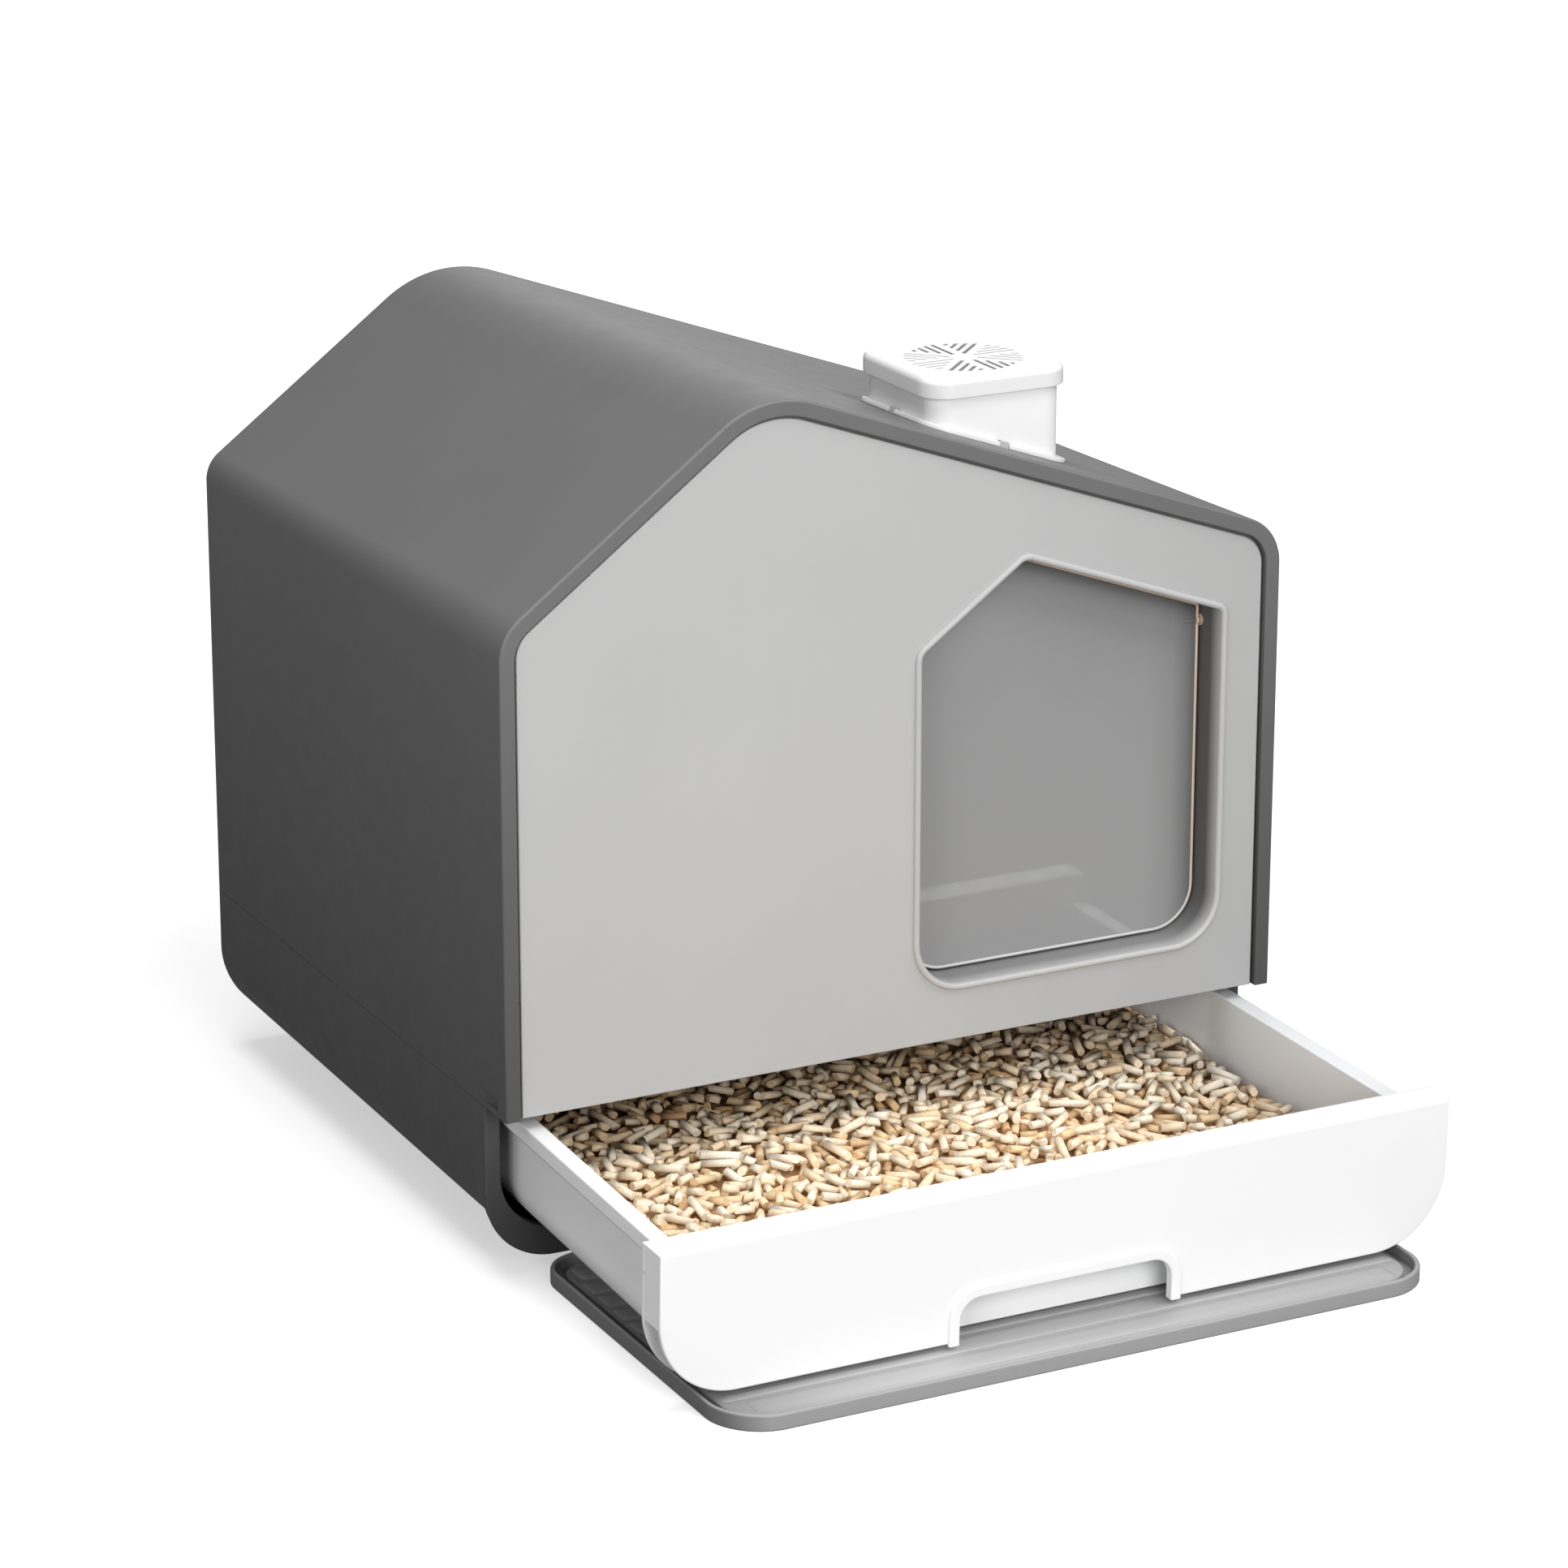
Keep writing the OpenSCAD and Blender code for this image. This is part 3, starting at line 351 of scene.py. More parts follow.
class Nodes:
    """A small helper around a material's node tree."""

    def __init__(self, name):
        self.mat = bpy.data.materials.new(name)
        self.mat.use_nodes = True
        self.tree = self.mat.node_tree
        self.shader = self.tree.nodes["Principled BSDF"]
        self.coords = self.add("ShaderNodeTexCoord").outputs["Object"]

    def add(self, kind, **values):
        n = self.tree.nodes.new(kind)
        for k, v in values.items():
            setattr(n, k, v)
        return n

    def link(self, a, b):
        self.tree.links.new(a, b)

    def noise(self, scale, detail=2.0, rough=0.5):
        n = self.add("ShaderNodeTexNoise")
        n.inputs["Scale"].default_value = scale
        n.inputs["Detail"].default_value = detail
        n.inputs["Roughness"].default_value = rough
        self.link(self.coords, n.inputs["Vector"])
        return n.outputs["Fac"]

    def ramp(self, value, stops):
        r = self.add("ShaderNodeValToRGB")
        for element, (at, colour) in zip(r.color_ramp.elements, (stops[0], stops[-1])):
            element.position, element.color = at, (*colour, 1)
        for at, colour in stops[1:-1]:
            r.color_ramp.elements.new(at).color = (*colour, 1)
        self.link(value, r.inputs["Fac"])
        return r.outputs["Color"]

    def span(self, value, lo, hi, low=0.0, high=1.0):
        m = self.add("ShaderNodeMapRange")
        for k, v in zip(("From Min", "From Max", "To Min", "To Max"), (lo, hi, low, high)):
            m.inputs[k].default_value = v
        self.link(value, m.inputs["Value"])
        return m.outputs["Result"]

    def mix(self, factor, a, b, blend="MIX"):
        m = self.add("ShaderNodeMix", data_type="RGBA", blend_type=blend)
        for value, key in ((factor, "Factor"), (a, "A"), (b, "B")):
            sockets = [s for s in m.inputs if s.name == key and (s.type == "RGBA") == (key != "Factor")]
            if hasattr(value, "is_output"):
                self.link(value, sockets[0])
            else:
                sockets[0].default_value = value if key == "Factor" else (*value, 1)
        return [s for s in m.outputs if s.type == "RGBA"][0]

    def times(self, colour, *shades):
        for shade in shades:
            colour = self.mix(1.0, colour, shade, "MULTIPLY")
        return colour

    def combine(self, operation, a, b):
        m = self.add("ShaderNodeMath", operation=operation)
        self.link(a, m.inputs[0])
        self.link(b, m.inputs[1])
        return m.outputs[0]

    def vector(self, operation, other):
        """The distance or dot product of the place on the object and another vector."""
        m = self.add("ShaderNodeVectorMath", operation=operation)
        m.inputs[1].default_value = other
        self.link(self.coords, m.inputs[0])
        return m.outputs["Value"]

    def bump(self, height, strength, distance):
        b = self.add("ShaderNodeBump")
        b.inputs["Strength"].default_value = strength
        b.inputs["Distance"].default_value = distance
        self.link(height, b.inputs["Height"])
        self.link(b.outputs["Normal"], self.shader.inputs["Normal"])

    def split(self, vector, name):
        s = self.add("ShaderNodeSeparateXYZ")
        self.link(vector, s.inputs["Vector"])
        return s.outputs[name]

    def facing(self, name):
        return self.split(self.add("ShaderNodeNewGeometry").outputs["Normal"], name)

    def axis(self, name):
        return self.split(self.coords, name)

    def flow(self, low, high):
        """Slow changes between two tones, as from the flow of plastic in its mould."""
        return self.ramp(self.noise(7, 3, 0.55), [(0.3, low), (0.7, high)])

    def moulded(self, colour, smooth, rough, specular=0.5, grain=0.12):
        """The finished plastic: colour, a gloss that varies a little, and a fine eroded grain."""
        self.link(colour, self.shader.inputs["Base Color"])
        self.link(self.span(self.noise(60, 4, 0.6), 0.3, 0.7, smooth, rough), self.shader.inputs["Roughness"])
        self.shader.inputs["Specular IOR Level"].default_value = specular
        self.bump(self.noise(1500, 2, 0.5), grain, 0.00012)
        return self.mat


def plastic(name, grey, rough=0.42, grain=0.12, specular=0.5, spread=0.035, tint=(1, 1, 1), ior=1.5,
            foot=1.0, right=None, low_tint=None, band=False):
    """Moulded plastic. foot paints shade towards the floor and on faces that do not face up, low_tint tints
    it low down, right paints shade towards the right, and band draws the shadow line under the tub's band."""
    n = Nodes(name)
    low, high = [tuple(grey * k * t for t in tint) for k in (1 - spread, 1 + spread)]
    colour = n.flow(low, high)
    # painted shade: darker towards the floor, and on faces that turn away from above
    if foot < 1:
        shade = n.ramp(n.axis("Z"), even((0.03, foot), (0.25, 0.35 * foot + 0.65), (0.36, 1)))
        colour = n.times(colour, shade, n.ramp(n.facing("Z"), even((0.2, 0.83), (0.8, 1))))
    if low_tint:
        colour = n.times(colour, n.ramp(n.axis("Z"), [(0.1, low_tint), (0.2, (1, 1, 1))]))
    # painted shade towards the right
    if right:
        colour = n.times(colour, n.ramp(n.span(n.axis("X"), 0.0, 0.235), [(0.0, (1, 1, 1)), (1.0, right)]))
    if band:
        height = n.vector("DOT_PRODUCT", (0, -math.sin(PITCH), math.cos(PITCH)))
        line = n.ramp(n.span(height, 0.0838, 0.0866), even((0.0, 1), (0.3, 0.3), (0.7, 0.3), (1.0, 1)))
        outward = n.span(n.combine("MULTIPLY", n.facing("X"), n.axis("X")), 0.0, 0.25)
        on_band = n.ramp(outward, even((0.1, 0), (0.4, 1), (0.9, 1), (0.92, 0)))
        colour = n.mix(on_band, colour, n.times(colour, line))
    n.shader.inputs["IOR"].default_value = ior
    return n.moulded(colour, rough - 0.03, rough + 0.04, specular, grain)


def tray_material(name, grey, stops, side):
    """The tray's greys: stops paint light and shade on it from left to right, and side paints shade on what
    faces left.
    """
    n = Nodes(name)
    across = n.ramp(n.span(n.axis("X"), -0.213, 0.213), even(*stops))
    leftward = n.ramp(n.span(n.facing("X"), -1.0, 0.0), even((0.1, side), (0.7, 1)))
    colour = n.times(n.flow((grey * 0.97,) * 3, (grey * 1.03,) * 3), across, leftward)
    return n.moulded(colour, 0.42, 0.5, 0.4)


# foot paints shade towards the floor and on the sides of the dark plastic
charcoal = plastic("charcoal_plastic", 0.161, rough=0.48, specular=0.5, ior=1.33, foot=0.4)
# right paints shade towards the panel's right
panel_grey = plastic("panel_grey_plastic", 0.43, rough=0.5, specular=0.35, spread=0.02, right=(0.9, 0.9, 0.9),
                     low_tint=(0.935, 0.945, 0.96))
white = plastic("white_plastic", 0.82, rough=0.36, specular=0.45, spread=0.012)
box_white = plastic("box_white_plastic", 0.75, rough=0.4, specular=0.4, spread=0.012)
# right paints a cool shade on the tub's right; band paints the shadow line under its band
tub_white = plastic("tub_white_plastic", 0.84, rough=0.4, specular=0.4, spread=0.012,
                    right=(0.79, 0.805, 0.825), band=True)
clip_grey = plastic("clip_grey_plastic", 0.45, rough=0.45)
# painted light and shade across the tray and its inlay, darkest on the left
tray_grey = tray_material("tray_grey_plastic", 0.285, [(0.0, 0.95), (0.3, 1.05), (1.0, 0.98)], 0.52)
inlay_grey = tray_material("inlay_grey_plastic", 0.38,
                           [(0.0, 0.55), (0.15, 0.9), (0.3, 1.1), (1.0, 0.8)], 1.0)
rubber = plastic("foot_rubber", 0.03, rough=0.7, grain=0.3, specular=0.3, spread=0.1)


def bead_material():
    """The entrance frame: as pale as the panel on its bead, with painted shade down the tunnel and on its
    right side.
    """
    n = Nodes("entrance_grey_plastic")
    pale = n.flow((0.425, 0.425, 0.425), (0.45, 0.45, 0.45))
    # painted shade deep in the tunnel, darkest on the wall that faces left
    deep = n.span(n.axis("Y"), -0.1015, -0.092)
    shade = n.ramp(n.span(n.facing("X"), -1.0, -0.2, 0.24, 0.57), even((0.0, 0), (1.0, 1)))
    return n.moulded(n.mix(deep, pale, n.times(pale, shade)), 0.42, 0.5, 0.35)


def trim_material():
    """The flap's trim: pale at its bottom, tanned further up."""
    n = Nodes("flap_trim_plastic")
    rise = n.span(n.axis("Z"), 0.135, 0.18)
    pale = n.ramp(n.noise(9, 3), [(0.3, (0.52, 0.52, 0.51)), (0.7, (0.57, 0.57, 0.56))])
    n.link(n.mix(rise, pale, (0.60, 0.46, 0.36)), n.shader.inputs["Base Color"])
    n.link(n.span(n.noise(80, 3), 0.3, 0.7, 0.32, 0.42), n.shader.inputs["Roughness"])
    n.bump(n.noise(1400, 2), 0.1, 0.0001)
    return n.mat


def smoke_material():
    """Smoked sheet, with painted shade along its right upper edge and its right side."""
    n = Nodes("smoke_sheet")
    tone = n.ramp(n.noise(5, 3), [(0.3, (0.305, 0.305, 0.307)), (0.7, (0.33, 0.33, 0.332))])
    upper = n.vector("DOT_PRODUCT", (math.sin(SLOPE), 0, math.cos(SLOPE)))
    # painted shade along the upper right edge and down the right side
    near_top = n.ramp(n.span(upper, 0.3345, 0.3665), EDGE_SHADE)
    near_side = n.ramp(n.span(n.axis("X"), 0.166, 0.1975), EDGE_SHADE)
    n.link(n.times(tone, near_top, near_side), n.shader.inputs["Base Color"])
    n.shader.inputs["Alpha"].default_value = 0.8
    n.link(n.span(n.noise(30, 3), 0.3, 0.7, 0.16, 0.22), n.shader.inputs["Roughness"])
    n.bump(n.noise(14, 2), 0.05, 0.002)
    return n.mat


def lid_material():
    """White plastic, with painted shade inside the grille's slots and on faces that do not face up."""
    n = Nodes("lid_white_plastic")
    pale = n.flow((0.74, 0.74, 0.74), (0.76, 0.76, 0.76))
    # painted shade on faces that do not face up
    pale = n.times(pale, n.ramp(n.facing("Z"), even((0.1, 0.9), (0.6, 1))))
    middle = place((FILTER_X, FILTER_Y, FILTER_TOP))
    # painted shade inside the slots
    inner = n.span(n.vector("DISTANCE", tuple(middle)), 0.034, 0.0345, 1.0, 0.0)
    deep = n.span(n.axis("Z"), middle.z - 0.25 * MM, middle.z - 0.05 * MM, 1.0, 0.0)
    return n.moulded(n.mix(n.combine("MULTIPLY", inner, deep), pale, (0.5, 0.5, 0.5)), 0.33, 0.4)


def felt_material():
    """Black carbon felt with a rough nap."""
    n = Nodes("carbon_felt")
    n.link(n.ramp(n.noise(900, 4, 0.7), [(0.3, (0.012, 0.012, 0.013)), (0.7, (0.05, 0.05, 0.052))]),
           n.shader.inputs["Base Color"])
    n.shader.inputs["Roughness"].default_value = 0.95
    n.bump(n.noise(700, 4, 0.7), 0.8, 0.0008)
    return n.mat


def pellet_material():
    """Pressed wood: a tone for each pellet, darker low in the heap as painted shade, fine specks, and painted
    shade under the hood and to the right.
    """
    n = Nodes("wood_pellets")
    tone = n.add("ShaderNodeAttribute", attribute_name="tone").outputs["Fac"]
    wood = n.ramp(tone, [(0.0, (0.46, 0.28, 0.14)), (0.15, (0.70, 0.46, 0.24)), (0.35, (0.93, 0.71, 0.45)),
                         (0.65, (0.98, 0.85, 0.65)), (1.0, (1.0, 0.94, 0.81))])
    speck = n.span(n.noise(520, 4, 0.7), 0.33, 0.55)
    wood = n.mix(speck, n.mix(0.6, wood, (0.84, 0.70, 0.54), "MULTIPLY"), wood)
    # painted shade towards the back under the hood, and towards the right
    depth = n.ramp(n.span(n.axis("Y"), -0.09, -0.03), [(0.0, (1, 1, 1)), (1.0, (0.52, 0.47, 0.42))])
    right = n.ramp(n.span(n.axis("X"), 0.09, 0.205), [(0.0, (1, 1, 1)), (1.0, (0.64, 0.64, 0.66))])
    n.link(n.times(wood, depth, right), n.shader.inputs["Base Color"])
    n.link(n.span(n.noise(200, 3), 0.3, 0.7, 0.55, 0.8), n.shader.inputs["Roughness"])
    n.shader.inputs["Specular IOR Level"].default_value = 0.3
    n.bump(n.noise(900, 4, 0.7), 0.5, 0.0004)
    return n.mat


entrance_grey, flap_trim_mat, smoke = bead_material(), trim_material(), smoke_material()
lid_white, felt, wood = lid_material(), felt_material(), pellet_material()
tan = plastic("tan_plastic", 0.3, rough=0.4, tint=(1.4, 1.0, 0.72))

# ---- hood

DARK, PALE, WHITE = "dark_grey_plastic", "pale_grey_plastic", "white_plastic"


def at_filter(pts, z):
    """A flat outline moved to the filter box's place and to a height."""
    return [(p[0] + FILTER_X, p[1] + FILTER_Y, z) for p in pts]


def filter_hole():
    """Cutter for the filter box's hole in the roof."""
    s = Shell()
    outline = pane(BOX_W + 2 * FIT, BOX_D + 2 * FIT, BOX_R + FIT)
    rows = [s.row(at_filter(outline, z)) for z in (EAVE_H + 5, RIDGE_H + 2)]
    s.stack(rows)
    return s


def pocket(side):
    """Cutter for a finger pocket: deep at its front end, running out towards the back."""
    s = Shell()
    out, back = HOOD_W / 2 + WALL, POCKET_Y + POCKET_L
    plan = [(out, POCKET_Y), (HOOD_W / 2 - POCKET_D, POCKET_Y),
            (HOOD_W / 2 - DRAW * back / HOOD_D + 0.02, back), (out, back)]
    rows = [s.row([(side * x, y, z) for x, y in plan]) for z in (RIM_W / 3, RIM_W / 3 + POCKET_H)]
    s.stack(rows)
    return s


def hood():
    """The shell from its back wall's outside, forward round the rim and the panel's seat, and back inside."""
    s = Shell()
    rim_edge, rim_inner_edge = 1.5, 0.7
    seat, seat_back = PANEL_Y + PANEL_T, PANEL_Y + PANEL_T + SEAT_T
    stations = [(HOOD_D - a, b) for a, b in quarter(BACK_R, 6)]
    stations += [(y, 0) for y in BODY_STATIONS + (30,)]
    stations += [(b, a) for a, b in quarter(rim_edge, 5)]
    stations += [(a, RIM_W - b) for a, b in quarter(rim_inner_edge)]
    stations += [(seat, RIM_W), (seat, RIM_W + SEAT_W), (seat_back, RIM_W + SEAT_W), (seat_back, WALL)]
    stations += [(HOOD_D - BACK_R, WALL), (HOOD_D - WALL, BACK_R)]
    rows = [s.row([(p[0], y, p[1]) for p in house(y, e)]) for y, e in stations]
    s.stack(rows, closed=False)
    s.fill([r[0] for r in rows] + [r[-1] for r in rows[::-1]])
    piece("hood_shell_smooth", s, charcoal, "hood", DARK, "hood_shell",
          cutters=(filter_hole(), pocket(1), pocket(-1)))


def plate(s, loops, y0, y1, front=0.0, back=0.0):
    """An upright plate between y0 and y1 whose outer loop, and any holes after it, are functions of their
    inset; its front and back edges are rounded."""
    fronts, backs = [], []
    for loop in loops:
        stations = [(y0 + a, b) for a, b in quarter(front)] if front else [(y0, 0)]
        stations += [(y1 - b, a) for a, b in quarter(back)] if back else [(y1, 0)]
        rows = [s.row([(p[0], y, p[1]) for p in loop(d)]) for y, d in stations]
        s.strips(rows)
        fronts.append(rows[0])
        backs.append(rows[-1])
    s.fill(*fronts)
    s.fill(*backs)


def front_panel():
    """The panel inside the hood's rim, with the hole for the entrance frame."""
    s = Shell()
    edge, hole = RIM_W + PANEL_GAP, -TUNNEL_OUT - FIT
    plate(s, [lambda d: house(0, edge + d, FIT + d), lambda d: entry(hole + d)],
          PANEL_Y, PANEL_Y + PANEL_T, front=0.8)
    piece("front_panel_smooth", s, panel_grey, "hood", PALE, "front_panel")


def hinge_rods(s, spans, r, steps=24, bevel=0.3):
    """Rods along the flap's hinge axis, each between two places from left to right."""
    for x0, x1 in spans:
        s.rod((x0, FLAP_Y, HINGE_Z), (x1, FLAP_Y, HINGE_Z), r, steps, bevel)


def entrance():
    """The tunnel's inside, the round bead in front, and the tunnel's outside behind the panel."""
    s = Shell()
    bead_r, bead_in, end, behind = 1.9, 0.3, PANEL_Y + TUNNEL_L, PANEL_Y + 0.05
    profile = [(TUNNEL_IN, end), (TUNNEL_IN, 12)]
    profile += [(bead_r * math.cos(a) - bead_in, bead_r - bead_r * math.sin(a))
                for a in (math.pi * k / 12 for k in range(13))]
    profile += [(-bead_r - bead_in, behind), (-TUNNEL_OUT, behind), (-TUNNEL_OUT, end)]
    rows = [s.row([(p[0], y, p[1]) for p in entry(d)]) for d, y in profile]
    s.strips(rows, ring=True)
    hinge_rods(s, ((7.0, 10.0), (201.2, 204.2)), BOSS_R)
    piece("entrance_bead_tunnel", s, entrance_grey, "hood", PALE, "entrance_frame")


def flap():
    """The smoked sheet, the trim around its edge, and its two pins."""
    s = Shell()
    plate(s, [lambda d: entry(FLAP_EDGE + TRIM_W + d)], FLAP_Y - FLAP_T / 2, FLAP_Y + FLAP_T / 2,
          front=0.2, back=0.2)
    hinge_rods(s, ((15.4, 22.7), (188.5, 195.8)), PIN_R + 0.5)
    piece("flap_sheet_smoky", s, smoke, "flap", "smoke_clear", "flap_sheet")

    s = Shell()
    proud, lap, r, chamfer = 0.4, 0.4, 0.5, 0.15
    half, w = FLAP_T / 2 + proud, TRIM_W + lap
    outer = [(w - r, -half), (w - chamfer, chamfer - half), (w, r - half)]
    outer += [(d, -y) for d, y in outer[::-1]]
    section = outer + [(w - d, y) for d, y in outer[::-1]]
    rows = [s.row([(p[0], FLAP_Y + y, p[1]) for p in entry(FLAP_EDGE + d)]) for d, y in section]
    s.strips(rows, ring=True)
    hinge_rods(s, ((13.9, 15.4), (195.8, 197.3)), KNUCKLE_R)
    piece("flap_edge_trim", s, flap_trim_mat, "flap", PALE, "flap_trim", angle=50)

    s = Shell()
    collar_r = 3.4
    for pin, collar in (((7.1, 22.6), (11.0, 13.4)), ((188.6, 204.1), (197.8, 200.2))):
        hinge_rods(s, (pin,), PIN_R, 20, 0.1)
        hinge_rods(s, (collar,), collar_r)
    piece("flap_pins_collared", s, tan, "hood", "tan_plastic", "flap_pins")


# ---- base

def base():
    """The trough from its back's outside, forward round the lip and back inside; then its tongue and feet."""
    s = Shell()
    edge, inner_edge, blend = 1.4, 1.0, 14.5
    lip_back, back = BASE_Y + LIP_D, HOOD_D - WALL
    stations = [(HOOD_D - a, b, b, body_r(HOOD_D - a, b)) for a, b in quarter(BACK_R, 6)]
    stations += [(y, 0, 0, body_r(y, 0)) for y in BODY_STATIONS + (70, BODY_Y)]
    for u in (0.25, 0.5, 0.75):
        ease = 3 * u * u - 2 * u ** 3
        stations.append((BODY_Y - blend * u, 0, 0, BODY_R + (BASE_R + 0.5 - BODY_R) * ease))
    stations += [(BASE_Y + b, a, a, BASE_R - a) for a, b in quarter(edge)]
    stations += [(BASE_Y + a, LIP_W - b, LIP_FLOOR - b, LIP_R + b) for a, b in quarter(inner_edge)]
    stations += [(lip_back, LIP_W, LIP_FLOOR, LIP_R), (lip_back, WALL, WALL, 44.0)]
    stations += [(BODY_Y, WALL, WALL, BODY_R - WALL)]
    stations += [(y, WALL, WALL, body_r(y, WALL)) for y in (220, HOOD_D - BACK_R)]
    stations += [(back, BACK_R, BACK_R, body_r(back, BACK_R))]
    rows = [s.row([(p[0], y, p[1]) for p in trough(y, a, b, r)]) for y, a, b, r in stations]
    s.stack(rows, closed=False)
    s.fill([r[0] for r in rows] + [r[-1] for r in rows[::-1]])

    # the tongue that locates the hood, along both sides and the back
    profile = [(2.8, -6), (6, -6), (6, 4.6), (5.6, 5), (3.8, 5), (3.4, 4.6), (3.4, -0.45), (2.8, -0.45)]
    corners = []
    for k in range(4):
        side = -1 if k < 2 else 1
        pts = []
        for a, z in profile:
            y = BODY_Y if k in (0, 3) else HOOD_D - a
            pts.append((side * (HOOD_W / 2 - DRAW * y / HOOD_D - a), y, z))
        corners.append(s.row(pts))
    s.stack(corners)

    for x in (-FOOT_X, FOOT_X):
        for y in FOOT_Y:
            under = -BASE_H + DRAW * y / HOOD_D
            s.rod((x, y, FLOOR_Z + FOOT_T), (x, y, under + 1), FOOT_BOSS_R, 40, 0.8)
    piece("base_shell_smooth", s, charcoal, "base", DARK, "base_shell")


# ---- drawer

def tub_side(y):
    """One half of the tub's outside, from the rim's outer edge down the band and the wall, as (x, z)."""
    h, low = tub_half(y), -BAND_H
    edge, under_edge = 0.9, ((0, 1.3), (0.1, 0.8), (0.4, 0.4), (0.8, 0.1), (1.3, 0), (2.6, 0), (3, 0.4))
    out = [(h - edge + edge * math.sin(a), -edge + edge * math.cos(a)) for a in turns(4)]
    out += [(h - x, low + z) for x, z in under_edge]
    out += [(h - TUB_T, -3.5), (h - TUB_EDGE, -TUB_T)]
    w = h - TUB_EDGE - TUB_R
    return out + [(w + TUB_R * math.cos(a), -TUB_H + TUB_R - TUB_R * math.sin(a)) for a in turns(12)]


def tub_inside(y):
    """One half of the tub's inside, from the rim's inner edge down and under, as (x, z)."""
    edge, r = 0.8, TUB_INNER_R
    w, low = tub_half(y) - TUB_RIM, -TUB_H + TUB_T
    pts = [(w + edge - edge * math.sin(a), -edge * (1 - math.cos(a))) for a in turns(4)]
    return pts + [(w - r + r * math.cos(a), low + r - r * math.sin(a)) for a in turns(12)]


def tub():
    """The tub's two sides and floor, its back wall, its front wall and the stops under it."""
    s = Shell(in_drawer)
    rows = []
    for y in (FASCIA_D - 0.2, 120, 240, TUB_BACK - GUARD_D + 0.5):
        outer, inner = tub_side(y), tub_inside(y)
        loop = [(x, y, z) for x, z in outer] + [(-x, y, z) for x, z in outer[::-1]]
        loop += [(-x, y, z) for x, z in inner] + [(x, y, z) for x, z in inner[::-1]]
        rows.append(s.row(loop))
    s.stack(rows)

    # the back wall with the raised bar along its top: the rim gives way to the bar's rounded edge
    r, edge = 1.2, 1.4
    rows = []
    stations = [(TUB_BACK - GUARD_D + a, b) for a, b in quarter(edge)]
    stations += [(TUB_BACK - b, a) for a, b in quarter(edge)]
    for y, e in stations:
        h, top = tub_half(y) - e - r, GUARD_H - e - r
        half = [(h + r * math.sin(a), top + r * math.cos(a)) for a in turns(4)]
        half += [(x - e, z) for x, z in tub_side(y)[5:]]
        rows.append(s.row([(x, y, z) for x, z in half] + [(-x, y, z) for x, z in half[::-1]]))
    s.stack(rows)

    plate(s, [lambda d: fascia(d, FASCIA_DOWN + FRONT_WALL_X)], FASCIA_D - FRONT_WALL_T, FASCIA_D,
          front=0.3, back=0.5)
    w, d = STOP_W / 2, STOP_D
    for x in (-STOP_X, STOP_X):
        plan = [(x - w, STOP_Y), (x + w, STOP_Y), (x + w, STOP_Y + d), (x - w, STOP_Y + d)]
        s.stack([s.row([(px, py, z) for px, py in plan]) for z in (-TUB_H - STOP_H, -TUB_H + 1)])
    piece("drawer_tub_moulded", s, tub_white, "drawer", WHITE, "drawer_tub")


def open_ring(s, rows):
    """Bridges rows that close round from the last to the first, and fills the two open ends."""
    s.strips(rows, closed=False, ring=True)
    s.fill([row[0] for row in rows])
    s.fill([row[-1] for row in rows])


def drawer_front():
    """The cover's face, with the handle's opening let into its lower edge, and its top and side walls."""
    s = Shell(in_drawer)

    def face(d):
        outer, low = fascia(d), -FASCIA_DOWN + d
        opening = [vec(p[0], max(p[1], low)) for p in handle(-FASCIA_T - FIT - d)]
        left_arc = FASCIA_STEPS + 1
        return outer[:left_arc] + opening[::-1] + outer[left_arc:]
    plate(s, [face], 0.0, FASCIA_T, front=1.1)

    end, chamfer = FASCIA_D - FRONT_WALL_T - 0.05, 0.4
    rows = []
    for d, y in ((0, FASCIA_T), (0, end - chamfer), (chamfer, end), (FASCIA_T, end),
                 (FASCIA_T, FASCIA_T - chamfer)):
        h, top = HOOD_W / 2 - d, FASCIA_UP - d
        rows.append(s.row([(-h, y, -LIP_DOWN), (-h, y, top), (h, y, top), (h, y, -LIP_DOWN)]))
    open_ring(s, rows)
    for k in (-0.36, -0.12, 0.12, 0.36):
        x = k * HOOD_W
        s.rod((x, FASCIA_T / 2, FASCIA_BOSS_Z), (x, end, FASCIA_BOSS_Z), FASCIA_BOSS_R)
    piece("drawer_front_cover", s, white, "drawer", WHITE, "drawer_front")


def handle_bead():
    """The raised bead around the handle's opening, with its collar through the drawer front."""
    s = Shell(in_drawer)
    w, r, t, behind, chamfer, below = HANDLE_TRIM, 1.0, FASCIA_T, 1.0, 0.3, 0.6
    profile = [(-w, 0.0), (-w, -HANDLE_RISE + r)]
    profile += [(-w + r - r * math.cos(a), -HANDLE_RISE + r - r * math.sin(a)) for a in turns(4)[1:]]
    profile += [(-r + r * math.sin(a), -HANDLE_RISE + r - r * math.cos(a)) for a in turns(4)]
    profile += [(0, t + behind - chamfer), (-chamfer, t + behind), (-t + chamfer, t + behind),
                (-t, t + behind - chamfer), (-t, 0.0)]
    open_ring(s, [s.row([(p[0], y, max(p[1], -FASCIA_DOWN - below)) for p in handle(d)]) for d, y in profile])
    piece("handle_bead", s, white, "drawer", WHITE, "handle_trim")


def litter_base(y0, y1):
    """The solid bed under the pellets, flat on top and slanted at its sides."""
    bed = Shell(in_drawer)
    gap, top, bend, low, slant = 0.6, -43.5, -46, -63.5, 18
    rows = []
    for y in (y0 - 1.5, (y0 + y1) / 2, y1 + 0.8):
        h = tub_half(y) - TUB_RIM - gap
        section = [(h, top), (-h, top), (-h, bend), (-h + slant, low), (h - slant, low), (h, bend)]
        rows.append(bed.row([(x, y, z) for x, z in section]))
    bed.stack(rows)
    return bed


